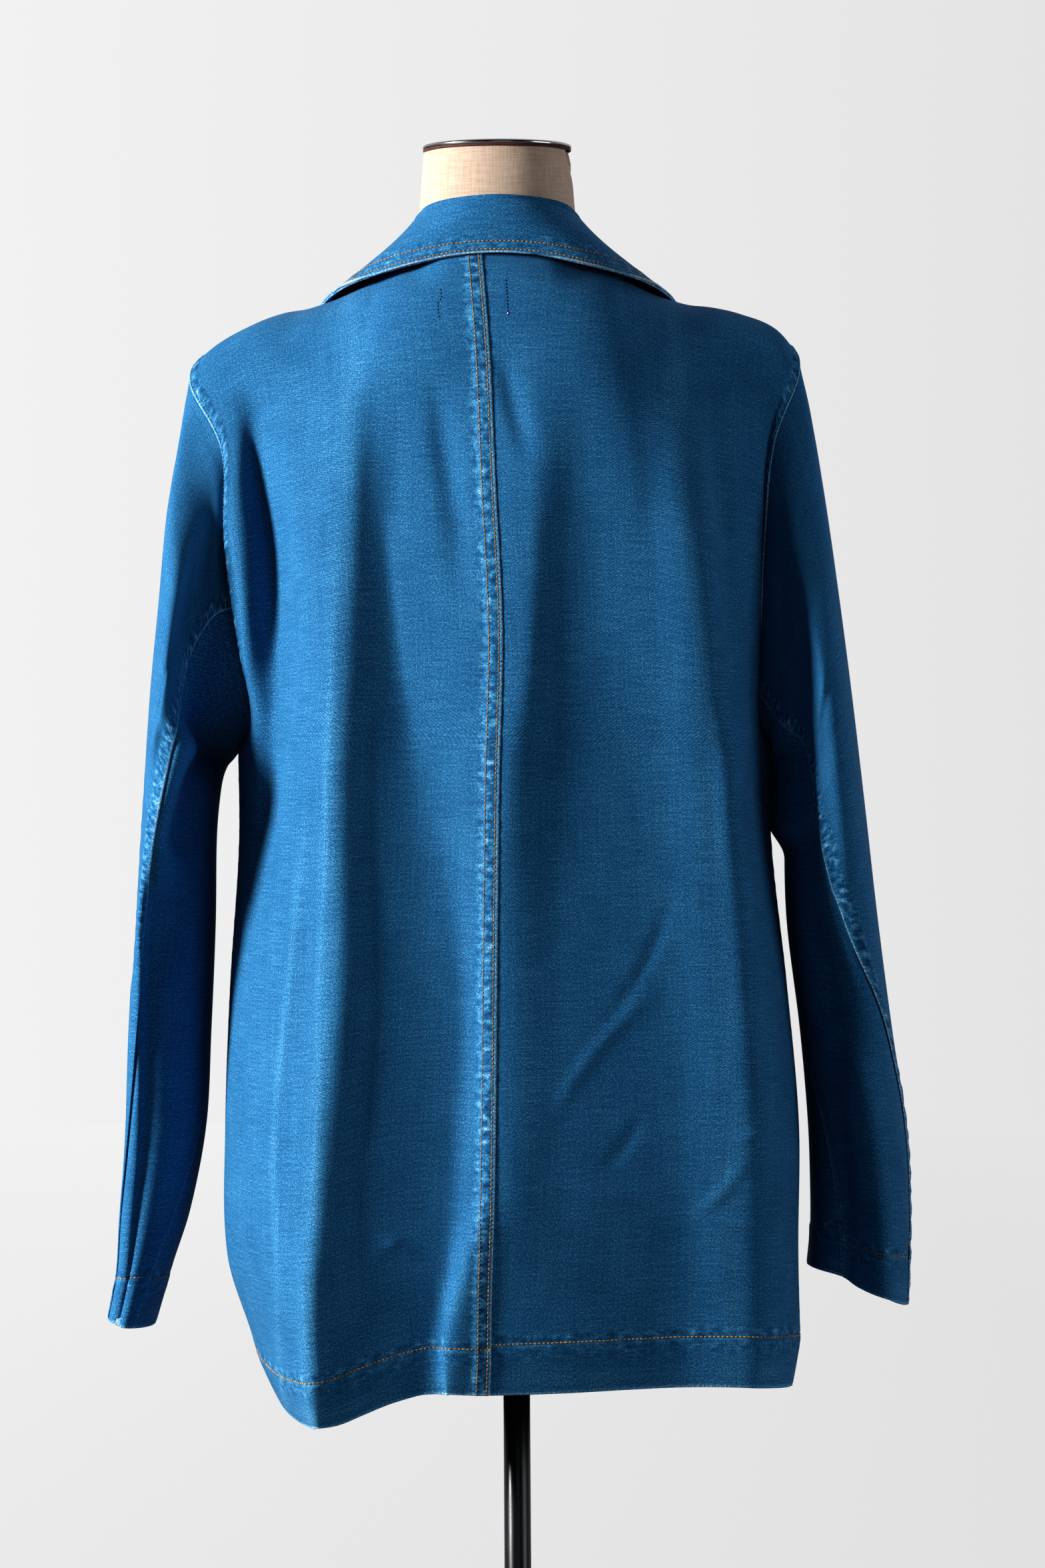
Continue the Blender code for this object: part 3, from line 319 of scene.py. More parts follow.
SLEEVE_RIGHT = (
    (0.00, 0.2055, 1.3480, 0.1850, 1.0710, -0.004, 0.050, 135, 240),
    (0.10, 0.2145, 1.3050, 0.1900, 1.0660, -0.003, 0.060, 138, 235),
    (0.20, 0.2250, 1.2400, 0.1930, 1.0610, -0.002, 0.073, 140, 230),
    (0.30, 0.2345, 1.1700, 0.1950, 1.0550, -0.002, 0.084, 139, 226),
    (0.38, 0.2425, 1.1050, 0.1960, 1.0400, -0.003, 0.089, 136, 222),
    (0.46, 0.2510, 1.0300, 0.1945, 1.0050, -0.006, 0.089, 120, 212),
    (0.56, 0.2605, 0.9450, 0.1960, 0.9430, -0.012, 0.084, 80, 196),
    (0.66, 0.2710, 0.8650, 0.2050, 0.8680, -0.022, 0.079, 36, 174),
    (0.76, 0.2815, 0.7950, 0.2110, 0.8000, -0.033, 0.074, 24, 150),
    (0.86, 0.2845, 0.7370, 0.2130, 0.7470, -0.044, 0.066, 18, 134),
    (0.93, 0.2840, 0.7020, 0.2130, 0.7180, -0.051, 0.062, 16, 126),
    (1.00, 0.2830, 0.6650, 0.2110, 0.6940, -0.058, 0.058, 15, 120),
)
print("sleeve rows", len(SLEEVE_LEFT))

# %% Collar's lines
COLLAR = (
    # share of the way round, then out, back and height of the roll and of the outer edge, and the fall's swell
    (-0.16, -0.0300, 0.0480, 1.4560, -0.0420, 0.0605, 1.4150, 0.05),
    (0.00, 0.0000, 0.0570, 1.4575, 0.0000, 0.0640, 1.4195, 0.05),
    (0.16, 0.0300, 0.0480, 1.4560, 0.0420, 0.0605, 1.4150, 0.05),
    (0.28, 0.0490, 0.0332, 1.4525, 0.0720, 0.0595, 1.4060, 0.03),
    (0.38, 0.0584, 0.0136, 1.4465, 0.0975, 0.0480, 1.3975, 0.02),
    (0.44, 0.0606, 0.0010, 1.4434, 0.1125, 0.0305, 1.4000, 0.01),
    (0.50, 0.0620, -0.0120, 1.4400, 0.1260, 0.0010, 1.3915, -0.045),
    (0.68, 0.0618, -0.0345, 1.4290, 0.1330, -0.0370, 1.3790, -0.01),
    (0.84, 0.0580, -0.0580, 1.4050, 0.1280, -0.0750, 1.3530, 0.04),
    (1.00, 0.0500, -0.0850, 1.3640, 0.1170, -0.1040, 1.3225, 0.05),
)
COLLAR_STAND, COLLAR_FALL = 0.125, 0.5       # shares of the way over the collar where it rolls, and where it falls
ROLL_RADIUS, SEAM_RISE, COLLAR_CLEAR = 3.5 * MM, 1.5 * MM, 3.0 * MM
GORGE = 1.70                                 # where the collar ends on the front's edge, as a row of the body
print("collar rows", len(COLLAR))

# %% [markdown]
# ## Folds
# Cloth that hangs from shoulders falls in long soft folds that start near the shoulder blades and open towards
# the hem. Each fold below is a path down the cloth with its half width on either side and its height, so it can
# be steep on one side and soft on the other. Folds are placed one by one and no two are alike.

# %% Short folds of the back
BACK_FOLDS = {
    # name: wear on its crest, then rows of height, x, half width towards +x and towards -x in mm, and depth in mm
    "puff behind the left armhole": (0.15, (
        (1.03, 0.186, 12, 9, 0), (1.10, 0.187, 12, 9, 3), (1.18, 0.191, 14, 10, 5), (1.25, 0.195, 16, 12, 4),
        (1.31, 0.190, 18, 14, 0))),
    "deep trough beside it": (0.0, (
        (0.90, 0.188, 8, 14, 0), (0.986, 0.178, 9, 18, -5), (1.041, 0.169, 11, 20, -12),
        (1.124, 0.163, 18, 22, -17), (1.2075, 0.168, 12, 20, -15), (1.263, 0.177, 10, 18, -9),
        (1.33, 0.184, 10, 18, 0))),
    "thin outer crease": (0.45, (
        (0.70, 0.166, 5, 7, 1.2), (0.80, 0.168, 5, 7, 1.8), (0.90, 0.158, 5, 7, 1.8), (0.98, 0.149, 5, 7, 1.2),
        (1.05, 0.142, 5, 7, 0))),
    "thin inner crease": (0.35, (
        (0.72, 0.139, 5, 8, 0.8), (0.85, 0.137, 5, 8, 1.2), (1.00, 0.131, 5, 8, 1.2), (1.14, 0.125, 6, 8, 1.0),
        (1.26, 0.118, 6, 8, 0))),
    "right blade trough": (0.0, (
        (1.06, -0.153, 8, 10, 0), (1.14, -0.152, 8, 10, -4), (1.22, -0.149, 8, 10, -5), (1.29, -0.142, 9, 12, -2),
        (1.33, -0.138, 9, 12, 0))),
    "hem fold beside the seam": (0.25, (
        (0.54, 0.054, 5, 24, 3.5), (0.62, 0.052, 5, 24, 3.5), (0.665, 0.048, 5, 24, 3), (0.71, 0.038, 6, 22, 2),
        (0.75, 0.028, 8, 20, 0))),
    "flare at the left hem": (0.30, (
        (0.54, 0.147, 5, 16, 4), (0.62, 0.146, 5, 16, 4), (0.68, 0.146, 6, 16, 3), (0.74, 0.147, 8, 16, 0))),
    "small crease by the seam": (0.0, (
        (1.265, -0.012, 7, 9, 0), (1.29, -0.007, 7, 9, -1.6), (1.32, 0.000, 7, 9, -1.6),
        (1.345, 0.006, 7, 9, 0))),
    "soft dent on the left blade": (0.0, (
        (1.16, 0.035, 12, 12, 0), (1.22, 0.037, 11, 11, -2.0), (1.28, 0.046, 10, 11, -2.4),
        (1.33, 0.052, 10, 10, 0))),
}
print(len(BACK_FOLDS), "short folds on the back")

# %% Long folds of the back, from the left side to the right
LEVELS = (0.54, 0.65, 0.76, 0.9, 1.04, 1.125, 1.21, 1.27, 1.34)
HEM_LEVELS = (0.54, 0.65, 0.71, 0.76, 0.9, 1.04, 1.125, 1.21, 1.27, 1.34)
LONG_FOLDS = {
    # name, in order across the back: wear on its crest, heights, then x and depth in mm at each height
    "left side": (0, LEVELS, (178, 188, 200, 196, 192, 190, 190, 190, 190),
        (6, 8, 6, 0, 0, 0, 0, 0, 0)),
    "left outer slope": (0, LEVELS, (160, 166, 162, 152, 150, 148, 146, 146, 146),
        (26, 27, 22, 14, 12, 8, 3, 0, 0)),
    "long left ridge": (0.3, LEVELS, (143, 147, 137, 124, 122, 117, 113, 112, 112),
        (33, 35, 28, 22, 16, 8, 2, 1, 0)),
    "foot of the ridge": (0, LEVELS, (98, 100, 104, 93, 96, 94, 95, 94, 96),
        (-5, -4, 1, -2, -5, -9, -10, -8, 0)),
    "broad left valley": (0, HEM_LEVELS, (62, 60, 49, 45, 38.5, 60, 76, 84, 76, 74),
        (-25, -25, -24, -23, -20, -19, -17, -14.5, -11, 0)),
    "ridge along the seam": (0, HEM_LEVELS, (52, 46, 32, 17.5, 13, 5, -8, -13, -16, -8),
        (-21, -21, -16, -13, -10, -7, -6, -4, -1, 0)),
    "right of the seam": (0, LEVELS, (-36, -36, -36, -36, -34, -36, -40, -46, -46),
        (-31, -32, -23, -19, -20, -16, -12.5, -6, 0)),
    "broad right valley": (0, LEVELS, (-80, -80, -80, -75, -70, -66, -64, -64, -64),
        (-37, -37, -27, -22, -22, -17.5, -13.5, -6, 0)),
    "slope beyond the valley": (0, LEVELS, (-118, -118, -118, -112, -104, -100, -97, -97, -97),
        (-34, -34, -23.5, -17.5, -16, -10.5, -7, -1, 0)),
    "long right ridge": (0.3, LEVELS, (-150, -152, -150, -145, -137.6, -134.5, -125, -118, -118),
        (-17, -17, -9, -2, 2, 6, 5, 4, 0)),
    "right outer slope": (0, LEVELS, (-172, -176, -176, -170, -158, -152, -144, -136, -136),
        (-1, -2, 7, 13, 14, 9, 6, 4, 0)),
    "right side": (0, LEVELS, (-205, -204, -202, -193, -180, -177, -172, -170, -170),
        (4, 4, 5, 4, -8, -9, -7, -4, 0)),
}
print(len(LONG_FOLDS), "long ridges and valleys")

# %% Folds of the fronts, and short slack creases on the back
FRONT_FOLDS = {
    "left chest fold": (0.0, ((0.80, 0.150, 20, 24, 0), (0.92, 0.152, 20, 24, -8), (1.15, 0.160, 20, 22, -10),
                              (1.34, 0.165, 18, 20, 0))),
    "left front flare": (0.2, ((0.54, 0.100, 20, 26, 10), (0.75, 0.092, 22, 28, 7), (0.95, 0.086, 22, 26, 0))),
    "left front trough": (0.0, ((0.60, 0.062, 20, 20, -5), (0.80, 0.058, 22, 20, -4), (1.02, 0.056, 22, 20, 0))),
    "right chest fold": (0.0, ((0.78, -0.146, 22, 20, 0), (0.90, -0.150, 22, 20, -9), (1.14, -0.158, 22, 20, -11),
                               (1.33, -0.162, 18, 20, 0))),
    "right front flare": (0.2, ((0.54, -0.118, 26, 22, 11), (0.74, -0.106, 26, 22, 8), (0.92, -0.098, 26, 24, 0))),
    "left hem trough": (0.0, ((0.54, 0.160, 14, 18, -10), (0.70, 0.158, 14, 18, -8), (0.84, 0.155, 16, 18, 0))),
    "right hem trough": (0.0, ((0.54, -0.172, 18, 14, -9), (0.68, -0.168, 18, 14, -7), (0.80, -0.164, 18, 16, 0))),
}
CREASES = (
    # start x and height, end x and height, half width in mm, depth in mm
    (-0.107, 0.905, -0.020, 0.800, 5, 1.1),
    (-0.058, 0.868, -0.115, 0.976, 5, -1.1),
    (-0.121, 0.735, -0.167, 0.789, 5, 1.2),
    (-0.060, 0.772, -0.090, 0.818, 5, -1.0),
    (0.104, 0.738, 0.058, 0.714, 4, 1.2),
    (-0.150, 0.790, -0.186, 0.808, 4, 1.0),
    (-0.030, 0.770, -0.090, 0.752, 6, 0.9),
    (0.195, 0.783, 0.160, 0.779, 4, 1.2),
    (0.120, 0.775, 0.095, 0.790, 5, 0.8),
    (0.105, 0.715, 0.075, 0.735, 5, 1.2),
    (-0.120, 0.745, -0.170, 0.730, 5, 0.8),
    (0.160, 1.318, 0.185, 1.300, 6, -1.0),
)
print(len(FRONT_FOLDS), "folds and", len(CREASES), "creases")

# %% [markdown]
# ## The surface, worked out on whole grids at once
# Each surface is a function of two shares, worked out with numpy on every point of a grid in one go. A table is
# read on a smooth curve through its rows, so sections blend into one another without a step.


# %% Reading a table and small maths
def bend(share, low, high, slope_in, slope_out):
    """A smooth curve from low to high that leaves and arrives at the given slopes."""
    square, cube = share ** 2, share ** 3
    return ((2 * cube - 3 * square + 1) * low + (cube - 2 * square + share) * slope_in
            + (3 * square - 2 * cube) * high + (cube - square) * slope_out)


def between(rows, key):
    """The columns of a table at every key, on a smooth curve through its rows."""
    table, key = np.array(rows, float), np.asarray(key, float)
    last = len(table) - 1
    index = np.searchsorted(table[1:last, 0], key)
    low, high = table[index], table[index + 1]
    before, after = table[np.maximum(index - 1, 0)], table[np.minimum(index + 2, last)]
    step = high[..., :1] - low[..., :1]
    share = np.clip((key[..., None] - low[..., :1]) / step, 0, 1)
    slope_in = (high - before) / (high[..., :1] - before[..., :1]) * step
    slope_out = (after - low) / (after[..., :1] - low[..., :1]) * step
    return np.moveaxis(bend(share, low, high, slope_in, slope_out)[..., 1:], -1, 0)


def ease(share):
    share = np.clip(share, 0, 1)
    return share * share * (3 - 2 * share)


def mix(start, end, share):
    return start + (end - start) * share


def power(value, exponent):
    return np.sign(value) * np.abs(value) ** exponent


def pack(x, y, z):
    return np.stack(np.broadcast_arrays(x, y, z), -1)


def unit(vectors):
    return vectors / np.maximum(np.linalg.norm(vectors, axis=-1, keepdims=True), 1e-12)


def square_to(place, u, v, tick):
    """The direction square to a surface of two shares, found over a small step each way."""
    east = place(np.clip(u + tick, 0, 1), v) - place(np.clip(u - tick, 0, 1), v)
    north = place(u, np.clip(v + tick, 0, 1)) - place(u, np.clip(v - tick, 0, 1))
    return unit(np.cross(east, north))


print("half width at the underarm", between(BODY, UNDERARM)[:2])


# %% Folds and creases as relief
FOLD_GAIN, BELL = 1.5, 1.4     # depth of the short folds, and how fast a fold dies away beside its line
WEAR_GAIN = 0.4


def drape(folds, x, z):
    """Outward relief of a set of folds, and the wear along their crests."""
    relief, worn = np.zeros_like(x), np.zeros_like(x)
    for wear, rows in folds.values():
        rows = np.array(rows, float) * (1, 1, MM, MM, MM)
        line, left, right, depth = between(rows, z)
        off = (x - line) / np.where(x > line, left, right)
        relief += FOLD_GAIN * depth * np.exp(-BELL * off * off)
        if wear:
            most = np.abs(rows[:, 4]).max()
            worn += WEAR_GAIN * wear * np.clip(depth / most, 0, 1) * np.exp(-6 * off * off)
    return relief, worn


def long_folds(x, z):
    """Relief of the back's long folds: a smooth curve across the cloth through every ridge and valley line."""
    x, z = np.broadcast_arrays(x, z)
    lines, depths, worn = [], [], np.zeros_like(x)
    for wear, heights, lines_at, depths_at in LONG_FOLDS.values():
        rows = np.array([heights, np.array(lines_at) * MM, np.array(depths_at) * MM]).T
        line, depth = between(rows, np.clip(z, LEVELS[0], LEVELS[-1]))
        lines.append(line)
        depths.append(depth)
        if wear:
            worn = worn + WEAR_GAIN * wear * np.exp(-((x - line) / (8 * MM)) ** 2)
    lines, depths = np.array(lines[::-1]), np.array(depths[::-1])
    slopes = np.zeros_like(depths)
    slopes[1:-1] = (depths[2:] - depths[:-2]) / (lines[2:] - lines[:-2])
    relief = np.where(x < lines[0], depths[0], depths[-1])
    for low in range(len(lines) - 1):
        step = lines[low + 1] - lines[low]
        share = (x - lines[low]) / step
        curve = bend(share, depths[low], depths[low + 1], slopes[low] * step, slopes[low + 1] * step)
        relief = np.where((share >= 0) & (share < 1), curve, relief)
    return relief, worn


def creases(x, z):
    relief = np.zeros_like(x)
    for x0, z0, x1, z1, half, depth in CREASES:
        long = math.hypot(x1 - x0, z1 - z0)
        along = ((x - x0) * (x1 - x0) + (z - z0) * (z1 - z0)) / long ** 2
        bow = 0.06 * long * np.sin(np.clip(along, 0, 1) * np.pi)
        off = ((x - x0) * (z1 - z0) - (z - z0) * (x1 - x0)) / long + bow
        ends = ease(along / 0.4) * ease((1 - along) / 0.4)
        relief += depth * MM * np.exp(-BELL * (off / (half * MM)) ** 2) * ends
    return relief


relief = long_folds(np.array([0.0, 0.12]), np.array([0.7, 0.7]))[0]
print("long folds near the hem, at the middle and on the left", (relief / MM).round(1), "mm")


# %% Lines that bound the body
def section_point(side, face, across, height):
    left, right, back, front, square = between(BODY, height)
    turn = across * np.pi / 2
    x = MIDDLE + side * np.where(side > 0, left, right) * power(np.sin(turn), 2 / square)
    y = SIDE_Y + face * np.where(face > 0, back, front) * np.maximum(np.cos(turn), 0) ** (2 / square)
    return pack(x, y, height)


def seam_drift(face, across, height):
    reach = mix(DRIFT_REACH, NECK_SHARE, ease((height - 1.30) / 0.10))
    return np.where(face > 0, between(SEAM_DRIFT, height)[0] * (1 - ease(np.abs(across) / reach)), 0.0)


def shoulder_line(side, out):
    left, right = between(SHOULDER, out)
    along = mix(NECK_Y, SHOULDER_Y, (out - NECK_OUT) / (SHOULDER_OUT - NECK_OUT))
    return pack(MIDDLE + side * out, along, np.where(side > 0, left, right))


def top_point(side, face, column):
    """Where a column ends: on the back neck or the shoulder seam."""
    neck = np.where(face > 0, NECK_SHARE, 0.0)
    seam = shoulder_line(side, mix(NECK_OUT, SHOULDER_OUT, np.maximum(column - neck, 0) / (1 - neck)))
    turn = np.clip(column / NECK_SHARE, -1, 1) * np.pi / 2
    side_height = shoulder_line(side, np.full_like(column, NECK_OUT))[..., 2]
    round_neck = pack(MIDDLE + side * NECK_OUT * np.sin(turn), NECK_Y + NECK_BACK * np.cos(turn),
                      mix(NECK_BACK_HEIGHT, side_height, np.sin(turn) ** 2))
    return np.where((column >= neck)[..., None], seam, round_neck)


print("top of the left shoulder seam", top_point(1, 1, np.ones(1))[0].round(4))


# %% The body above the underarm, its armholes and its hem
def upper_point(side, face, column, rise):
    across = np.where(face > 0, column, -LAP + (1 + LAP) * column)
    start = section_point(side, face, across, np.full_like(column, UNDERARM))
    end = top_point(side, face, column)
    behind = mix(1.75, 2.35, ease(column / NECK_SHARE))
    sideways = np.where(face > 0, behind, mix(1.02, 2.30, ease(column / 0.50)))
    lengthways = np.where(face > 0, behind, mix(1.50, 2.30, ease(column / 0.40)))
    rest_x = np.maximum(1 - rise ** sideways, 0) ** (1 / sideways)
    rest_y = np.maximum(1 - rise ** lengthways, 0) ** (1 / lengthways)
    return pack(mix(end[..., 0], start[..., 0], rest_x), mix(end[..., 1], start[..., 1], rest_y),
                mix(UNDERARM, end[..., 2], rise))


def armhole_point(side, face, share):
    rise = ((1 - np.cos(np.pi * share)) / 2)[..., None]
    low = section_point(side, face, np.ones_like(share), np.full_like(share, UNDERARM))
    high = shoulder_line(side, np.full_like(share, SHOULDER_OUT))
    outward, backward, forward = np.where(side > 0, between(ARMHOLE_LEFT, share), between(ARMHOLE_RIGHT, share))
    return low + (high - low) * rise + pack(side * outward, np.where(face > 0, backward, -forward), 0.0)


def hem_height(side, face, across):
    behind = between(HEM_DROP, side * across)[0]
    before = between(HEM_DROP, side * np.ones_like(across))[0] - 0.010 * (1 - np.abs(across))
    return HEM + np.where(face > 0, behind, before)


print("hem at the middle of the back", hem_height(1, 1, np.zeros(1)).round(4))

# %% The body's outside
SINK = 9 * MM                  # the collar's weight presses the cloth under it this far in
TICK = 0.004                   # the small step over which a surface's directions are measured


def body_point(side, face, column, row, inner=False, folded=True):
    """Outside of the body. column: 0 at the centre, 1 at the side. row: 0 hem, 1 underarm, 2 shoulder or neck."""
    column, row = np.broadcast_arrays(np.asarray(column, float), np.asarray(row, float))
    across = np.where(face > 0, column, -LAP + (1 + LAP) * column)
    low = section_point(side, face, across, mix(hem_height(side, face, across), UNDERARM, np.clip(row, -1, 1)))
    share = np.clip(row - 1, 0, 1)
    rise = (1 - np.cos(np.pi * share)) / 2
    high = upper_point(side, face, column, rise)
    hole = armhole_point(side, face, share) - upper_point(side, face, np.ones_like(column), rise)
    high = high + hole * (np.abs(column) ** np.where(side > 0, 4, 5))[..., None]
    point = np.where((row <= 1)[..., None], low, high)
    turn = across * np.pi / 2
    outward = pack(side * np.sin(turn), face * np.cos(turn), 0.0)
    depth = np.zeros_like(column)
    point[..., 0] += seam_drift(face, across, point[..., 2])
    if folded:
        x, z = point[..., 0], point[..., 2]
        high_up = ease((row - 0.90) / 0.15)
        fade = np.where(row > 1, ease((1 - rise) / 0.12), 1.0)
        edge = mix(1 - ease((column - 0.93) / 0.07), 1 - ease((column - 0.955) / 0.045), high_up)
        behind = (drape(BACK_FOLDS, x, z)[0] + long_folds(x, z)[0]) * edge * fade
        point[..., 1] += np.where(face > 0, behind, 0.0)
        edge = mix(1.0, 1 - ease((column - 0.88) / 0.12), ease((row - 0.85) / 0.15))
        depth = np.where(face > 0, 0.0, drape(FRONT_FOLDS, x, z)[0] * edge * fade)
    out, z = np.abs(point[..., 0] - MIDDLE), point[..., 2]
    under_collar = ease((z - 1.385) / 0.03) * ease((out - 0.035) / 0.03) * (1 - ease((out - 0.095) / 0.045))
    depth = depth - SINK * under_collar * np.where(row > 1, ease((2 - row) / 0.08), 1.0)
    if inner:
        depth = depth - LAP_STEP * (1 - ease((across - 0.10) / 0.25)) * (1 - ease((row - 1 - PASS_HEIGHT) / 0.15))
    return point + outward * depth[..., None]


def body_outward(side, face, column, row, inner=False):
    """The body's outward direction at a place on it."""
    east = body_point(side, face, column + TICK, row, inner) - body_point(side, face, column - TICK, row, inner)
    north = body_point(side, face, column, row + TICK, inner) - body_point(side, face, column, row - TICK, inner)
    return unit(np.cross(north, east)) * np.asarray(side * face)[..., None]


print("left shoulder blade", body_point(1, 1, 0.5, 1.5).round(3))


# %% Folds of the sleeves
LEFT_SLEEVE_FOLDS = (
    # name, degrees at the top and bottom of its run, half width, depth in mm, from share, to share
    ("hollow down the back of the arm", 110, 80, 34, -14, 0.36, 1.12),
    ("crest beside it", 52, 44, 16, 2, 0.50, 1.10),
    ("dent behind the upper arm", 66, 70, 34, -9, 0.03, 0.40),
    ("ridge beside the back seam", 150, 70, 15, 7, 0.20, 0.60),
    ("pleat under the arm", 150, 128, 22, -12, 0.16, 0.50),
    ("ridge under the elbow", 128, 108, 22, 15, 0.26, 0.54),
    ("drag from the armhole", 96, 60, 16, -4, 0.12, 0.42),
    ("fold at the front of the elbow", 292, 262, 30, -10, 0.44, 0.78),
    ("hollow over the front of the cuff", 250, 268, 28, -7, 0.70, 1.00),
    ("soft dent on the outer arm", 30, 10, 18, -3, 0.30, 0.62),
)
RIGHT_SLEEVE_FOLDS = (
    ("back of the arm lying flat", 92, 100, 46, -17, 0.04, 0.74),
    ("hollow over the back of the cuff", 130, 104, 34, -16, 0.62, 1.10),
    ("crest over the cuff", 92, 66, 18, 5, 0.62, 1.02),
    ("pleat under the arm", 150, 132, 26, -8, 0.16, 0.50),
    ("lengthwise ridge", 66, 84, 14, 4, 0.05, 0.36),
    ("fold at the front of the elbow", 286, 258, 30, -10, 0.46, 0.80),
    ("hollow over the front of the cuff", 248, 266, 28, -7, 0.70, 1.00),
    ("bend at the elbow", 150, 118, 26, -8, 0.44, 0.66),
    ("side against the body", 182, 178, 34, 12, 0.10, 0.49),
)


print(len(LEFT_SLEEVE_FOLDS), "folds on the left sleeve,", len(RIGHT_SLEEVE_FOLDS), "on the right")

# %% The sleeves' surface
SLEEVE_FADE = 0.34             # share of its length over which a sleeve leaves the armhole's shape
SWING = 42 * MM                # the left sleeve's outer edge hangs back by this much below its head
SEAM_INSET = 1.4 * MM          # the sleeve's head lies this far under the armhole's folded edge


def sleeve_ring(side, share, degrees):
    rows = np.where(side > 0, between(SLEEVE_LEFT, share), between(SLEEVE_RIGHT, share))
    outer = pack(side * rows[0], rows[4], rows[1])
    inner = pack(side * rows[2], rows[4], rows[3])
    turn = np.radians(degrees)
    square = mix(2.0, 2.3, ease(share / 0.3))
    across, aft = power(np.cos(turn), 2 / square), power(np.sin(turn), 2 / square)
    return (outer + inner) / 2 + (outer - inner) / 2 * across[..., None] + pack(0.0, rows[5] * aft, 0.0)


def sleeve_point(side, share, degrees):
    """Outside of the sleeve. degrees: 0 at its outer edge, 90 at the back, 180 at the inner edge."""
    share, degrees = np.broadcast_arrays(np.asarray(share, float), np.asarray(degrees, float))
    share, inside = np.maximum(share, 0), np.maximum(-share, 0)
    point = sleeve_ring(side, share, degrees)
    around = degrees % 360
    face = np.where(around <= 180, 1, -1)
    rows = np.where(side > 0, between(SLEEVE_LEFT, share), 0)
    lean = mix(0.62, 0.58, ease((share - 0.20) / 0.28)) - 0.18 * ease((share - 0.55) / 0.25)
    lean = np.where(face > 0, lean, 0.0) * ease(share / 0.2)
    turn = np.radians(around)
    point[..., 0] += lean * (rows[0] - rows[2]) / 2 * np.sin(turn) ** 2 * (1 - np.cos(turn))
    swing = np.where(side > 0, ease(share / 0.24) * (1 - ease((share - 0.20) / 0.26)), 0.0)
    point[..., 1] += swing * SWING * np.cos(turn)
    target = armhole_point(side, face, np.where(face > 0, 1 - around / 180, around / 180 - 1))
    turn = np.radians(degrees)
    radial = pack(side * np.cos(turn), np.sin(turn), 0.0)
    upright = pack(0.0, np.sin(turn), np.cos(turn))
    target = target - upright * SEAM_INSET
    leave = (1 - ease(share / SLEEVE_FADE))[..., None]
    point = point + (target - sleeve_ring(side, np.zeros_like(share), degrees)) * leave
    depth = np.zeros_like(share)
    folds = LEFT_SLEEVE_FOLDS if side > 0 else RIGHT_SLEEVE_FOLDS
    for _, at_top, at_bottom, half, deep, start, end in folds:
        way = (share - start) / (end - start)
        off = (around - mix(at_top, at_bottom, way)) / half
        depth += deep * MM * ease(way / 0.3) * ease((1 - way) / 0.12) * np.exp(-BELL * off * off)
    return point + radial * depth[..., None] - pack(side * 0.7, 0.0, 0.0) * inside[..., None]


print("left cuff", sleeve_point(1, 1.0, np.array([0.0, 90.0])).round(3))


# %% The body under the collar
def on_body(side, face, out, height):
    """The body under a place: found by halving the columns until its width there is the one wanted."""
    low, high = np.zeros_like(out), np.ones_like(out)
    for _ in range(18):
        column = (low + high) / 2
        top = top_point(side, face, column)[..., 2]
        rise = np.clip((height - UNDERARM) / (top - UNDERARM), 0, 1)
        row = 1 + np.arccos(1 - 2 * rise) / np.pi
        short = side * (body_point(side, face, column, row, folded=False)[..., 0] - MIDDLE) < out
        low, high = np.where(short, column, low), np.where(short, high, column)
    return column, row


print("column and row of a place behind the neck", *on_body(1, 1, np.array([0.03]), np.array([1.40])))


# %% The collar's surface
def collar_lines(share):
    side, way = np.where(share >= 0, 1, -1), np.abs(share)
    roll_out, roll_y, roll_z, edge_out, edge_y, edge_z, swell = between(COLLAR, way)
    behind = top_point(side, 1, NECK_SHARE * 2 * np.minimum(way, 0.5))
    before = body_point(side, -1, np.zeros_like(way), mix(2.0, GORGE, np.clip(2 * way - 1, 0, 1)), folded=False)
    seam = np.where((way <= 0.5)[..., None], behind, before) + pack(0.0, 0.0, SEAM_RISE)
    return (seam, pack(MIDDLE + side * roll_out, roll_y, roll_z), pack(MIDDLE + side * edge_out, edge_y, edge_z),
            swell)


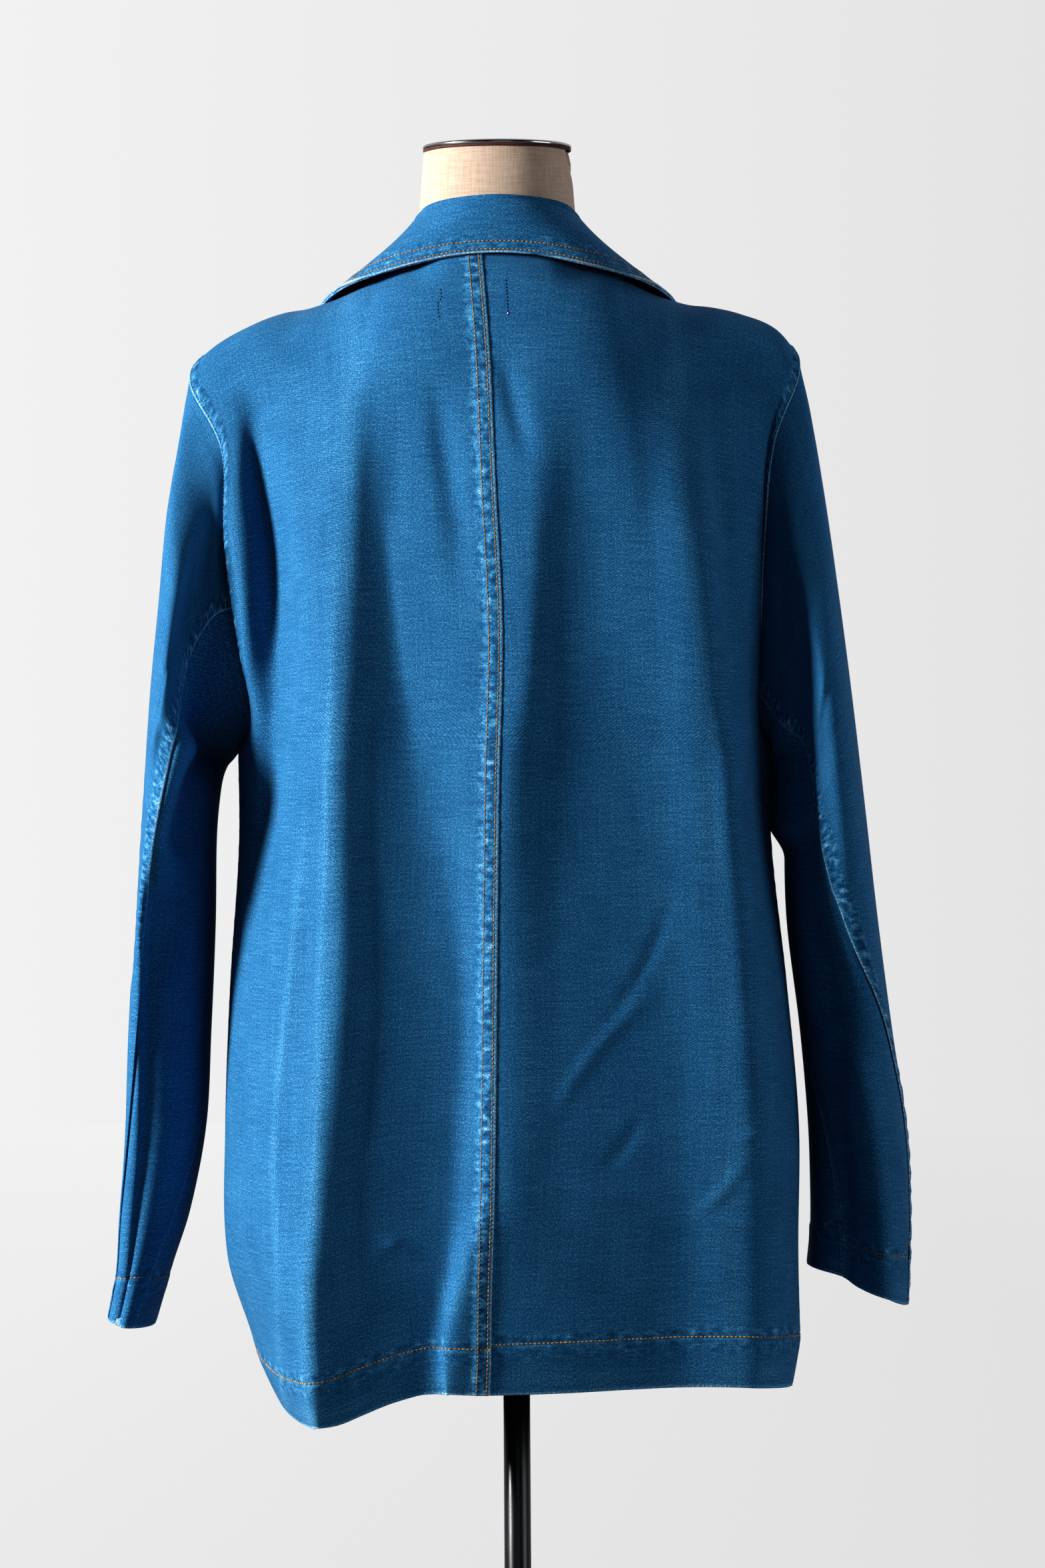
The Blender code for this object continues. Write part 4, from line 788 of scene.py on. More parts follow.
def collar_point(share, around):
    share, around = np.broadcast_arrays(np.asarray(share, float), np.asarray(around, float))
    seam, roll, edge, swell = collar_lines(share)
    ahead, behind = (collar_lines(np.clip(share + step, -1, 1))[1] for step in (0.02, -0.02))
    along = unit(ahead - behind)
    outward = unit(np.cross(along, (0.0, 0.0, -1.0)))
    up = np.cross(along, outward)
    centre = roll - up * ROLL_RADIUS
    stand = mix(seam, centre - outward * ROLL_RADIUS, np.clip(around / COLLAR_STAND, 0, 1)[..., None])
    turn = np.pi * np.clip((around - COLLAR_STAND) / (COLLAR_FALL - COLLAR_STAND), 0, 1)[..., None]
    over = centre + (up * np.sin(turn) - outward * np.cos(turn)) * ROLL_RADIUS
    turn = np.clip((around - COLLAR_FALL) / (1 - COLLAR_FALL), 0, 1)[..., None]
    start = centre + outward * ROLL_RADIUS
    away = unit(np.cross(along, edge - start))
    long = np.linalg.norm(edge - start, axis=-1, keepdims=True)
    fall = mix(start, edge, turn) + away * (4 * turn * (1 - turn) * swell[..., None] * long)
    side, face = np.where(share >= 0, 1, -1), np.where(fall[..., 1] > SHOULDER_Y, 1, -1)
    column, row = on_body(side, face, side * (fall[..., 0] - MIDDLE), fall[..., 2])
    column, row = np.clip(column, TICK, 1 - TICK), np.clip(row, TICK, 2 - TICK)
    normal = body_outward(side, face, column, row)
    rise = ((fall - body_point(side, face, column, row)) * normal).sum(-1, keepdims=True)
    fall = fall + normal * np.maximum(COLLAR_CLEAR - rise, 0) * ease(turn / 0.3)
    beyond = np.where((around <= COLLAR_FALL)[..., None], over, fall)
    return np.where((around <= COLLAR_STAND)[..., None], stand, beyond)


print("collar's back edge", collar_point(np.zeros(1), np.ones(1)).round(4))

# %% [markdown]
# ## From a surface to a piece of cloth
# A piece starts as a flat grid from bmesh's own operator, and its points are then moved onto the surface. Columns
# and rows are not evenly spread: they stand close together at set distances from each edge, where the cloth is
# folded and stitched, and further apart in the middle. A turned hem runs round a small half circle and up the
# inside, as it does on the real garment. Solidify then gives the single layer its thickness, with the denim's
# pale wrong side inside.

# %% Rows and columns near an edge
CLOTH = 1.0 * MM
FOLD_RADIUS = 1.25 * MM        # of a hem's or cuff's turned edge
HEM_ROW = 36.0                 # mm from the turned edge to its stitch line
# Distances in mm: from a plain edge, from a felled one, and above a hem's fold; rows up the inside of a turned hem
NEAR = (0.0, 0.35, 0.8, 1.4, 2.2, 3.2, 4.4, 5.8, 7.4, 9.2, 11.2, 13.6, 16.5)
NEAR_FELL = (0.0, 0.35, 0.8, 1.4, 2.1, 2.6, 3.1, 4.2, 5.6, 7.0, 8.4, 9.1, 9.6, 10.1, 11.2, 12.6, 14.6, 17.5)
NEAR_HEM = (2.2, 3.4, 5, 8, 12, 17, 22, 27, 31, 33.5, 35, 36, 37, 38.5, 41, 45)
TURNED_IN = (30, 22, 14, 7, 3.2)
TURN = (150, 120, 90, 60, 30)            # degrees round the fold of each row on its half circle
TURN_TRAVEL = (15, 45, 75, 100, 125)     # how far along the cloth those rows lie, as degrees of the same circle


def spread(near_low, near_high, whole, step):
    """Distances along an edge-to-edge line: close together near both edges and a step apart between them."""
    low, high = np.array(near_low) * MM, whole - np.array(near_high)[::-1] * MM
    count = max(int(round((high[0] - low[-1]) / (step * MM))), 2)
    return np.concatenate([low, np.linspace(low[-1], high[0], count + 1)[1:-1], high])


def arc(points):
    """Distance run along the last but one axis."""
    steps = np.linalg.norm(np.diff(points, axis=-2), axis=-1)
    return np.concatenate([np.zeros_like(steps[..., :1]), np.cumsum(steps, -1)], -1)


print("rows across a plain panel 0.2 m long:", len(spread(NEAR, NEAR, 0.2, 3.0)))


# %% A smooth surface
class Surface:
    """A surface sampled once on an even grid, then read on smooth curves between its samples."""

    def __init__(self, place, columns=121, rows=161):
        u, v = np.meshgrid(np.linspace(0, 1, columns), np.linspace(0, 1, rows))
        grid = place(u, v)
        grid = np.concatenate([2 * grid[:1] - grid[1:2], grid, 2 * grid[-1:] - grid[-2:-1]], 0)
        self.grid = np.concatenate([2 * grid[:, :1] - grid[:, 1:2], grid, 2 * grid[:, -1:] - grid[:, -2:-1]], 1)
        self.steps = np.array([rows - 1, columns - 1])

    @staticmethod
    def weights(share):
        return (((2 - share) * share - 1) * share / 2, (share * share * (3 * share - 5) + 2) / 2,
                ((4 - 3 * share) * share + 1) * share / 2, (share - 1) * share * share / 2)

    def __call__(self, u, v):
        u, v = np.broadcast_arrays(np.clip(u, 0, 1), np.clip(v, 0, 1))
        row = np.minimum((v * self.steps[0]).astype(int), self.steps[0] - 1)
        column = np.minimum((u * self.steps[1]).astype(int), self.steps[1] - 1)
        down, across = self.weights(v * self.steps[0] - row), self.weights(u * self.steps[1] - column)
        return sum((down[a] * across[b])[..., None] * self.grid[row + a, column + b]
                   for a in range(4) for b in range(4))


flat = Surface(lambda u, v: pack(u, v, 0.0))
print("a smooth surface through even samples gives back", flat(0.3, 0.7).round(6))


# %% The grid of a piece of cloth
class Piece:
    """The grid of one piece: places, outward directions and distances to the four edges."""

    def __init__(self, place, facing, near_low=NEAR, near_high=NEAR, near_top=NEAR, turned=True, step=4.0,
                 row_step=3.0):
        fine = np.linspace(0, 1, 161)
        place = Surface(place)
        spine = arc(place(np.full_like(fine, 0.5), fine))
        if turned:
            radius, turn = FOLD_RADIUS / MM, np.radians(TURN)
            inside = -np.array([*TURNED_IN, radius]) * MM
            outside = spread((radius, *NEAR_HEM), near_top, spine[-1], row_step)
            heights = np.concatenate([-inside, radius * (1 - np.sin(turn)) * MM, outside])
            offset = np.concatenate([np.full(len(inside), -2.0), np.cos(turn) - 1, 0 * outside]) * FOLD_RADIUS
            travel = np.concatenate([inside, FOLD_RADIUS * (np.radians(TURN_TRAVEL) - 1), outside])
        else:
            heights = travel = spread(NEAR, near_top, spine[-1], row_step)
            offset = np.zeros(len(heights))
        rows = np.interp(heights, spine, fine)
        lines = arc(place(fine[None, :], rows[:, None]))
        whole = lines[:, -1]
        middle = max(int(round((whole.mean() - near_low[-1] * MM - near_high[-1] * MM) / (step * MM))), 4)
        columns = []
        for line, total in zip(lines, whole):
            low, high = np.array(near_low) * MM, total - np.array(near_high)[::-1] * MM
            at = np.concatenate([low, np.linspace(low[-1], high[0], middle + 1)[1:-1], high])
            columns.append(np.interp(at, line, fine))
        u, v = np.array(columns), np.repeat(rows[:, None], len(columns[0]), 1)
        self.base = place(u, v)
        normal = square_to(place, u, v, TICK / 2)
        if (normal * np.array(facing)).sum(-1).mean() < 0:
            normal = -normal
        self.normal, self.u, self.v = normal, u, v
        run = arc(self.base)
        self.low, self.high = run, run[:, -1:] - run
        self.bottom = np.repeat(travel[:, None], u.shape[1], 1)
        self.top = spine[-1] - np.repeat(heights[:, None], u.shape[1], 1)
        self.relief = np.repeat(offset[:, None], u.shape[1], 1)
        self.wear, self.rope = np.zeros_like(u), np.zeros_like(u)

    def places(self):
        return self.base + self.normal * self.relief[..., None]

    def line(self, edge, distance, start=0.0, stop=1.0):
        """The run of points a set distance (mm) from an edge, and their outward directions."""
        points, normals = self.places(), self.normal
        field = getattr(self, edge)
        if edge in ("low", "high"):
            index = np.abs(field - distance * MM).argmin(1)
            rows = np.arange(len(field))
            keep = self.bottom[:, 0] > 0.5 * MM
            line, out = points[rows, index][keep], normals[rows, index][keep]
        else:
            index = np.abs(field[:, 0] - distance * MM).argmin()
            line, out = points[index], normals[index]
        first, last = int(start * (len(line) - 1)), int(stop * (len(line) - 1))
        return line[first:last + 1], out[first:last + 1]

    def build(self, name):
        """The piece as a mesh with its UV map, wear and roping, and Solidify for its thickness."""
        rows, columns = self.u.shape
        work = bmesh.new()
        bmesh.ops.create_grid(work, x_segments=columns - 1, y_segments=rows - 1, size=0.5)
        places = self.places()
        uv = work.loops.layers.uv.new("cloth")
        worn = work.verts.layers.float.new("wear")
        roped = work.verts.layers.float.new("roping")
        for vertex in work.verts:
            column, row = round((vertex.co.x + 0.5) * (columns - 1)), round((vertex.co.y + 0.5) * (rows - 1))
            vertex.index = row * columns + column
            vertex.co = places[row, column]
            vertex[worn], vertex[roped] = self.wear[row, column], self.rope[row, column]
        across = (self.low - self.low.mean(1, keepdims=True)).ravel()
        along = self.bottom.ravel()
        for face in work.faces:
            for loop in face.loops:
                index = loop.vert.index
                loop[uv].uv = (across[index], along[index])
        work.normal_update()
        work.faces.ensure_lookup_table()
        middle = work.faces[len(work.faces) // 2]
        if middle.normal.dot(Vector(self.normal.reshape(-1, 3)[middle.verts[0].index])) < 0:
            bmesh.ops.reverse_faces(work, faces=work.faces)
        thing = finish_piece(name, work, DENIM, WRONG_SIDE)
        solid = thing.modifiers.new("cloth", "SOLIDIFY")
        solid.thickness, solid.offset, solid.material_offset = CLOTH, -1.0, 1
        return thing


def finish_piece(name, work, *materials):
    """Makes a bmesh into an object of the blazer or its stand."""
    mesh = bpy.data.meshes.new(name)
    work.to_mesh(mesh)
    work.free()
    mesh.shade_smooth()
    thing = bpy.data.objects.new(name, mesh)
    for finish in materials:
        mesh.materials.append(finish)
    bpy.context.scene.collection.objects.link(thing)
    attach(thing, "root")
    return thing


print("a folded edge takes", round(math.pi * FOLD_RADIUS / MM, 1), "mm of cloth")

# %% [markdown]
# ## Seams, puckers and wear
# Where two panels are lapped and topstitched, the upper one stands a cloth's thickness proud, rolls over at its
# folded edge, and its allowance puckers into a ladder of small ridges as the thread shrinks in the wash. The
# ridges lose their dye first, which is the pale and dark "roping" seen beside every seam of washed denim.


# %% Functions for edges. Distances and widths are in mm, and where is a mask over the piece
def wander(along, seed):
    """A slow uneven wave, the same on every run."""
    return (np.sin(along * 61.0 + seed) + 0.7 * np.sin(along * 143.0 + 2.3 * seed)
            + 0.5 * np.sin(along * 317.0 + 5.1 * seed)) / 2.2


def ladder(along, pitch, seed):
    """Uneven puckers along a seam, from -1 in the hollows to 1 on the crests."""
    phase = along / (pitch * MM) * 2 * np.pi + 1.9 * wander(along, seed)
    return np.sin(phase) * (0.72 + 0.28 * wander(along * 1.7, seed + 4))


def roll_edge(piece, distance, radius=0.9, wear=0.75, reach=1.6, where=1.0):
    """Turns the cloth's edge inwards round a small radius and wears it."""
    share = np.clip(1 - distance / (radius * MM), 0, 1)
    piece.relief -= radius * MM * (1 - np.sqrt(1 - share ** 2 * 0.98)) * where
    piece.wear += wear * np.exp(-(distance / (reach * MM)) ** 2) * where


def raise_strip(piece, distance, width, height, where=1.0, soft=3.0):
    """Lifts a strip along an edge by the thickness of the cloth under it."""
    piece.relief += height * MM * (1 - ease((distance / MM - width) / soft)) * where


def pucker(piece, distance, along, middle, half, pitch, depth, wear, seed, where=1.0, slant=0.0):
    """A band of small ridges: its middle and half width from the edge, and the ridges' pitch, depth and wear."""
    band = np.exp(-((distance / MM - middle) / half) ** 4)
    wave = ladder(along + slant * distance, pitch, seed)
    piece.relief += wave * band * depth * MM * where
    piece.wear += np.clip(wave, -0.35, 1) * band * wear * where
    piece.rope = np.maximum(piece.rope, np.minimum(band * where * wear * 3.2, 0.8))


def groove(piece, distance, at, depth=0.25, half=0.7, where=1.0):
    """The line that a row of stitches pulls into the cloth."""
    piece.relief -= depth * MM * np.exp(-((distance / MM - at) / half) ** 2) * where


def finish_hem(piece, seed, tilt=0.0):
    """The raised band over the turned-up cloth, its stitch line, puckers and worn fold."""
    outside = piece.bottom > FOLD_RADIUS
    height, along = piece.bottom / MM, piece.low
    piece.relief -= tilt * MM * (1 - np.clip(np.abs(height) / (HEM_ROW + 2), 0, 1)) ** 1.3
    piece.relief += 0.45 * MM * (1 - ease((height - HEM_ROW + 1.5) / 2.5)) * outside
    groove(piece, piece.bottom, HEM_ROW, 0.55, 1.0, outside)
    pucker(piece, piece.bottom, along, HEM_ROW - 6, 6, 17, 0.35, 0.10, seed, outside, slant=0.7)
    pucker(piece, piece.bottom, along, HEM_ROW + 3, 4, 13, 0.18, 0.16, seed + 2, outside, slant=0.5)
    piece.wear += 0.65 * np.exp(-((piece.bottom - FOLD_RADIUS * 0.2) / (2.0 * MM)) ** 2)
    piece.wear += 0.16 * np.exp(-((height - HEM_ROW * 0.3) / 6) ** 2) * (0.6 + 0.6 * wander(along * 0.7, seed))


print("puckers along 20 mm of seam", ladder(np.linspace(0, 0.02, 5), 10, 1).round(2))

# %% [markdown]
# ## Back panels
# The two back panels meet in a felled seam: the left panel's edge is folded under and stitched down twice over
# the right one, seven millimetres apart. So the left panel carries the raised strip and the right one runs on
# beneath it.

# %% The edges a panel has in common with its neighbours
SIDES = ((1, "left"), (-1, "right"))
FELL_ROWS = (2.6, 9.6)         # the felled seam's two stitch rows, from the folded edge, in mm
EDGE_ROW = 2.2                 # the single row along an armhole or a pocket
TURNED_ROW = 5.8               # the row along a front edge or a lapel
TOP_ROW = 1.9995               # just short of the shoulder seam, so that the two panels don't share a line


def body_place(side, face, first=0.0, inner=False):
    def place(u, v):
        return body_point(side, face, mix(first, 1.0, u), v * TOP_ROW, inner)
    return place


def armhole_part(piece):
    """1 beside the armhole, 0 down the side seam."""
    return ease((piece.base[..., 2] - UNDERARM + 0.004) / 0.012)


def side_edges(piece, seed):
    """The armhole, lapped over the sleeve and topstitched, and the plain pressed side seam below it."""
    up = armhole_part(piece)
    raise_strip(piece, piece.high, 7, 0.9, up)
    roll_edge(piece, piece.high, 1.1, 0.85, 1.5, up)
    groove(piece, piece.high, EDGE_ROW, 0.25, 0.6, up)
    pucker(piece, piece.high, piece.bottom, 6, 4, 11, 0.35, 0.22, seed, up)
    roll_edge(piece, piece.high, 0.9, 0.40, 1.4, 1 - up)
    pucker(piece, piece.high, piece.bottom, 5, 4, 13, 0.25, 0.12, seed + 3, 1 - up)


print("felled rows are", round(FELL_ROWS[1] - FELL_ROWS[0], 1), "mm apart")

# %% Back panels
pieces = {}
for side, name in SIDES:
    left = side > 0
    piece = Piece(body_place(side, 1, 0.0 if left else -0.014), (0, 1, 0),
                  near_low=NEAR_FELL if left else NEAR, row_step=2.6)
    x, z = piece.base[..., 0], piece.base[..., 2]
    piece.relief += creases(x, z)
    piece.wear += drape(BACK_FOLDS, x, z)[1] + long_folds(x, z)[1]
    if left:
        raise_strip(piece, piece.low, 9.5, 1.25, soft=3.5)
        roll_edge(piece, piece.low, 1.0, 0.85, 1.3)
        pucker(piece, piece.low, piece.bottom, 6.1, 3.6, 9.5, 0.42, 0.26, 1)
        pucker(piece, piece.low, piece.bottom, 12.5, 3.0, 9.5, 0.24, 0.16, 1)
        piece.wear += 0.10 * np.exp(-((piece.low / MM - 12) / 4) ** 2)
        for row in FELL_ROWS:
            groove(piece, piece.low, row, 0.3, 0.6)
    else:
        pucker(piece, piece.low, piece.bottom, 6, 5, 19, 0.15, 0.05, 6)
    side_edges(piece, 3 if left else 8)
    roll_edge(piece, piece.top, 1.0, 0.3, 1.5)
    finish_hem(piece, 2 if left else 5, tilt=7.0)
    pieces[f"back_{name}"] = piece
print({name: piece.u.shape for name, piece in pieces.items()})

# %% [markdown]
# ## Front panels
# The fronts lap right over left and carry the patch pockets and the buttons. Their centre edge is folded over a
# facing, so it is rolled and stitched once.

# %% Front panels
for side, name in SIDES:
    piece = Piece(body_place(side, -1, 0.0, inner=side > 0), (0, -1, 0), row_step=3.4, step=4.6)
    piece.wear += drape(FRONT_FOLDS, piece.base[..., 0], piece.base[..., 2])[1]
    roll_edge(piece, piece.low, 1.3, 0.7, 1.6)
    groove(piece, piece.low, TURNED_ROW, 0.25, 0.6)
    pucker(piece, piece.low, piece.bottom, 4, 4, 12, 0.25, 0.15, 9 + side)
    side_edges(piece, 12 + side)
    roll_edge(piece, piece.top, 1.0, 0.3, 1.5)
    finish_hem(piece, 14 + side, tilt=7.0)
    pieces[f"front_{name}"] = piece
print({name: piece.u.shape for name, piece in pieces.items()})

# %% [markdown]
# ## Sleeves
# A two-piece sleeve: the upper sleeve carries the allowance of the back seam, so it stands proud along it and
# puckers, and the under sleeve runs on beneath. Both are tucked under the armhole's folded edge at the top and
# turned up at the cuff.


# %% The two parts of a sleeve
def sleeve_place(side, upper):
    def place(u, v):
        share = mix(1.0, -0.012, v)
        rows = np.where(side > 0, between(SLEEVE_LEFT, share), between(SLEEVE_RIGHT, share))
        back, front = rows[6], rows[7]
        if upper:
            return sleeve_point(side, share, mix(back, front - 360, u))
        return sleeve_point(side, share, mix(back - 3.0, front, u))
    return place


print("the left upper sleeve's cuff starts at", sleeve_place(1, True)(0.0, 0.0).round(3))

# %% Upper and under sleeves
for side, name in SIDES:
    upper = Piece(sleeve_place(side, True), (side, 0, 0), row_step=3.2, step=4.5)
    in_view = 1.0 if side < 0 else ease((upper.base[..., 2] - 0.90) / 0.08)
    raise_strip(upper, upper.low, 9, 0.9, soft=4)
    roll_edge(upper, upper.low, 1.0, 0.8, 1.4, in_view)
    pucker(upper, upper.low, upper.bottom, 6.5, 5, 14, 0.55, 0.32, 21 + side, in_view, slant=0.4)
    roll_edge(upper, upper.high, 0.9, 0.3, 1.4)
    finish_hem(upper, 24 + side)
    under = Piece(sleeve_place(side, False), (-side, 0.2, 0), row_step=3.2, step=4.5)
    under.relief -= 0.9 * MM * (1 - ease((under.low / MM - 3) / 5))
    roll_edge(under, under.high, 0.9, 0.3, 1.4)
    finish_hem(under, 28 + side)
    pieces[f"sleeve_upper_{name}"], pieces[f"sleeve_under_{name}"] = upper, under
print({name: piece.u.shape for name, piece in pieces.items() if "sleeve" in name})

# %% [markdown]
# ## Collar
# The collar is two layers sewn along the outer edge, turned out and stitched twice. It stands up from the neck
# seam, rolls over and falls. Pressing and washing leave its edge pale and slightly wavy.


# %% The collar's middle surface and its two layers
COLLAR_ROWS = (2.8, 7.8)       # stitch rows, from the outer edge, in mm
COLLAR_LAYER = 1.5 * MM        # each layer's outside from the collar's middle surface
collar_middle = Surface(lambda u, v: collar_point(mix(-1, 1, u), v), 41, 97)
fall = collar_middle.grid[30:-1]
for _ in range(80):            # eases out small kinks where the collar meets the shoulders
    fall[1:-1] = (fall[:-2] + 2 * fall[1:-1] + fall[2:]) / 4
    fall[:, 1:-1] = mix(fall[:, 1:-1], (fall[:, :-2] + 2 * fall[:, 1:-1] + fall[:, 2:]) / 4, 0.12)


def collar_place(away):
    def place(u, v):
        u, v = np.broadcast_arrays(u, v)
        return collar_middle(u, v) + square_to(collar_middle, u, v, TICK) * (away * COLLAR_LAYER)
    return place


print("back of the upper collar's edge", collar_place(1)(0.5, 1.0).round(4))

# %% Upper and under collar
for away, name in ((1, "collar_upper"), (-1, "collar_under")):
    piece = Piece(collar_place(away), (0, 0.3 * away, away), near_top=NEAR_FELL, turned=False, row_step=2.5, step=3.0)
    for edge in (piece.top, piece.low, piece.high):
        roll_edge(piece, edge, 1.2, 0.60, 0.9)
    if away > 0:
        for row in COLLAR_ROWS:
            groove(piece, piece.top, row, 0.4, 0.7)
        pucker(piece, piece.top, piece.low, 5.2, 2.0, 8, 0.24, 0.14, 41)
        pucker(piece, piece.top, piece.low, 10.6, 3.0, 11, 0.15, 0.10, 43)
    pieces[name] = piece
print({name: piece.u.shape for name, piece in pieces.items() if "collar" in name})

# %% [markdown]
# ## Lapels and patch pockets
# The lapel is the front's own edge turned back, with a notch where it meets the collar. A patch pocket is a flat
# piece with its edges pressed under and stitched down. Both lie on the front panel, so they are laid out in its
# own columns and rows and lifted by the thickness of cloth.

# %% Patches that lie on the fronts
LAPEL_FROM, LAPEL_TO = 1.30, GORGE - 0.003      # rows of the body at the lapel's foot and top
LAPEL_REACH, LAPEL_FOOT = 0.46, 0.03            # its width at the top, as a share of the front, and at its foot
NOTCH_FROM, NOTCH_DROP = 0.55, 0.045            # where the notch starts across the lapel, and its drop in rows
POCKET_COLUMNS, POCKET_ROWS = (5 / 11, 10 / 11), (1 / 7, 4 / 7)
LAPEL_LIFT, POCKET_LIFT = 2.5 * MM, 2.0 * MM    # their outsides above the front's


def over_front(side, columns, rows, lift):
    """A patch that lies on the front panel."""
    def place(u, v):
        column, row = np.clip(columns(u, v), TICK, 1 - TICK), rows(u, v)
        away = body_outward(side, -1, column, row, side > 0)
        return body_point(side, -1, column, row, side > 0) + away * lift
    return place


def lapel_row(u, v):
    top = LAPEL_TO - NOTCH_DROP * np.maximum(0.0, (u - NOTCH_FROM) / (1 - NOTCH_FROM))
    return mix(LAPEL_FROM, top, v)


print("a lapel is", round((LAPEL_TO - LAPEL_FROM) * 100), "% of the front's upper rows high")

# %% Lapels and pockets
for side, name in SIDES:
    lapel = Piece(over_front(side, lambda u, v: LAPEL_REACH * mix(LAPEL_FOOT, 1.0, v) * u, lapel_row, LAPEL_LIFT),
                  (0, -1, 0), near_high=NEAR[:9], near_low=NEAR[:6], near_top=NEAR[:9], turned=False, row_step=4,
                  step=4)
    for edge in (lapel.low, lapel.high, lapel.top):
        roll_edge(lapel, edge, 1.2, 0.8, 1.7)
    pucker(lapel, lapel.high, lapel.bottom, 4, 3, 10, 0.22, 0.25, 51 + side)
    pocket = Piece(over_front(side, lambda u, v: mix(*POCKET_COLUMNS, u), lambda u, v: mix(*POCKET_ROWS, v),
                              POCKET_LIFT), (0, -1, 0), near_top=NEAR_FELL, turned=False, row_step=4, step=4)
    for edge in (pocket.low, pocket.high, pocket.top, pocket.bottom):
        roll_edge(pocket, edge, 1.2, 0.7, 1.6)
    for edge, along in ((pocket.low, pocket.bottom), (pocket.high, pocket.bottom), (pocket.bottom, pocket.low)):
        pucker(pocket, edge, along, 4, 3, 10, 0.22, 0.22, 55 + side)
    pieces[f"lapel_{name}"], pieces[f"pocket_{name}"] = lapel, pocket
print(len(pieces), "pieces of cloth")

# %% Every piece of cloth as an object
cloth = {name: piece.build(f"denim_{name}") for name, piece in pieces.items()}
for name, thing in cloth.items():
    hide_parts(name)
    grid, places = pieces[name], pieces[name].places()
    faces = np.cross(np.diff(places, axis=0)[:, 1:], np.diff(places, axis=1)[1:])
    print(name, grid.u.shape, "cloth", round(float(np.linalg.norm(faces, axis=-1).sum()), 4), "m2, across",
          round(float(grid.low.max()), 3), "along", round(float(np.ptp(grid.bottom)), 3))

# %% [markdown]
# ## Stitches
# A topstitch is a short fat loop of thread that dips into the cloth at both ends. Each one here is a small
# stretched ball from bmesh's sphere operator, laid along the seam line and sunk by half into its groove.


# %% One line of stitches
STITCH, STITCH_GAP, STITCH_THICK = 2.45 * MM, 0.65 * MM, 1.0 * MM
STITCH_RISE = 0.20 * MM        # of its middle above the cloth
LIE_DOWN = Matrix.Rotation(-math.pi / 2, 4, "Y")     # turns the sphere's poles to the stitch's two ends
BATCH = 16                     # stitches gathered before they join the rest, which is much quicker


def stitch_line(work, line, normals, length=STITCH, gap=STITCH_GAP, thick=STITCH_THICK):
    run = arc(line)
    count = int(run[-1] / (length + gap))
    batch, scrap = bmesh.new(), bpy.data.meshes.new("batch")
    for index in range(count):
        place = (index + 0.5) * (length + gap)
        at, ahead, behind = (np.array([np.interp(place + shift, run, line[:, axis]) for axis in range(3)])
                             for shift in (0.0, length * 0.4, -length * 0.4))
        out = unit(np.array([np.interp(place, run, normals[:, axis]) for axis in range(3)]))
        forward = unit(ahead - behind)
        beside = unit(np.cross(out, forward))
        out = np.cross(forward, beside)
        uneven = 1 + 0.10 * math.sin(index * 2.4) + 0.06 * math.sin(index * 5.3)
        forward = unit(forward + beside * 0.07 * math.sin(index * 1.7 + 0.4))
        turn = Matrix(np.column_stack([forward, np.cross(out, forward), out]).tolist()).to_4x4()
        size = Matrix.Diagonal((thick * 0.5, thick * 0.5, length * 0.5 * uneven, 1.0))
        lie = Matrix.Translation(Vector(at + out * STITCH_RISE)) @ turn @ LIE_DOWN @ size
        bmesh.ops.create_uvsphere(batch, u_segments=8, v_segments=5, radius=1.0, matrix=lie)
        if index % BATCH == BATCH - 1 or index == count - 1:
            batch.to_mesh(scrap)
            work.from_mesh(scrap)
            batch.clear()
    batch.free()
    bpy.data.meshes.remove(scrap)
    return count


def stitches(name, lines, finish=TOPSTITCH, **sizes):
    work = bmesh.new()
    count = sum(stitch_line(work, line, normals, **sizes) for line, normals in lines)
    thing = finish_piece(name, work, finish)
    print(name, count, "stitches")
    return thing


def above_underarm(piece, edge, distance):
    line, normals = piece.line(edge, distance)
    keep = line[:, 2] > UNDERARM + 0.004
    return line[keep], normals[keep]


print("one stitch every", round((STITCH + STITCH_GAP) / MM, 1), "mm")

# %% Rows of topstitching
HEM_THREAD = 1.25 * MM         # the hem is sewn with a thicker thread than the rest
POCKET_HEM = 17.5              # mm from a pocket's mouth to its stitch row
BELOW_LAPEL = 0.62             # share of the front's edge that is stitched, up to the lapel's foot
sewn = {
    "stitches_centre_back": [pieces["back_left"].line("low", row) for row in FELL_ROWS],
    "stitches_hem": [pieces[name].line("bottom", HEM_ROW) for name in ("back_left", "back_right", "front_left",
                                                                      "front_right")],
    "stitches_cuffs": [pieces[f"sleeve_{part}_{side}"].line("bottom", HEM_ROW)
                       for part in ("upper", "under") for side in ("left", "right")],
    "stitches_collar": [pieces["collar_upper"].line("top", row) for row in COLLAR_ROWS],
    "stitches_lapels": [pieces[f"lapel_{side}"].line("high", TURNED_ROW) for side in ("left", "right")],
    "stitches_fronts": [pieces[f"front_{side}"].line("low", TURNED_ROW, 0.0, BELOW_LAPEL)
                        for side in ("left", "right")],
    "stitches_pockets": [pieces[f"pocket_{side}"].line(edge, distance) for side in ("left", "right")
                         for edge, distance in (("low", EDGE_ROW), ("high", EDGE_ROW), ("bottom", EDGE_ROW),
                                                ("top", POCKET_HEM))],
}
sewing = {name: stitches(name, lines, thick=HEM_THREAD if name == "stitches_hem" else STITCH_THICK)
          for name, lines in sewn.items()}

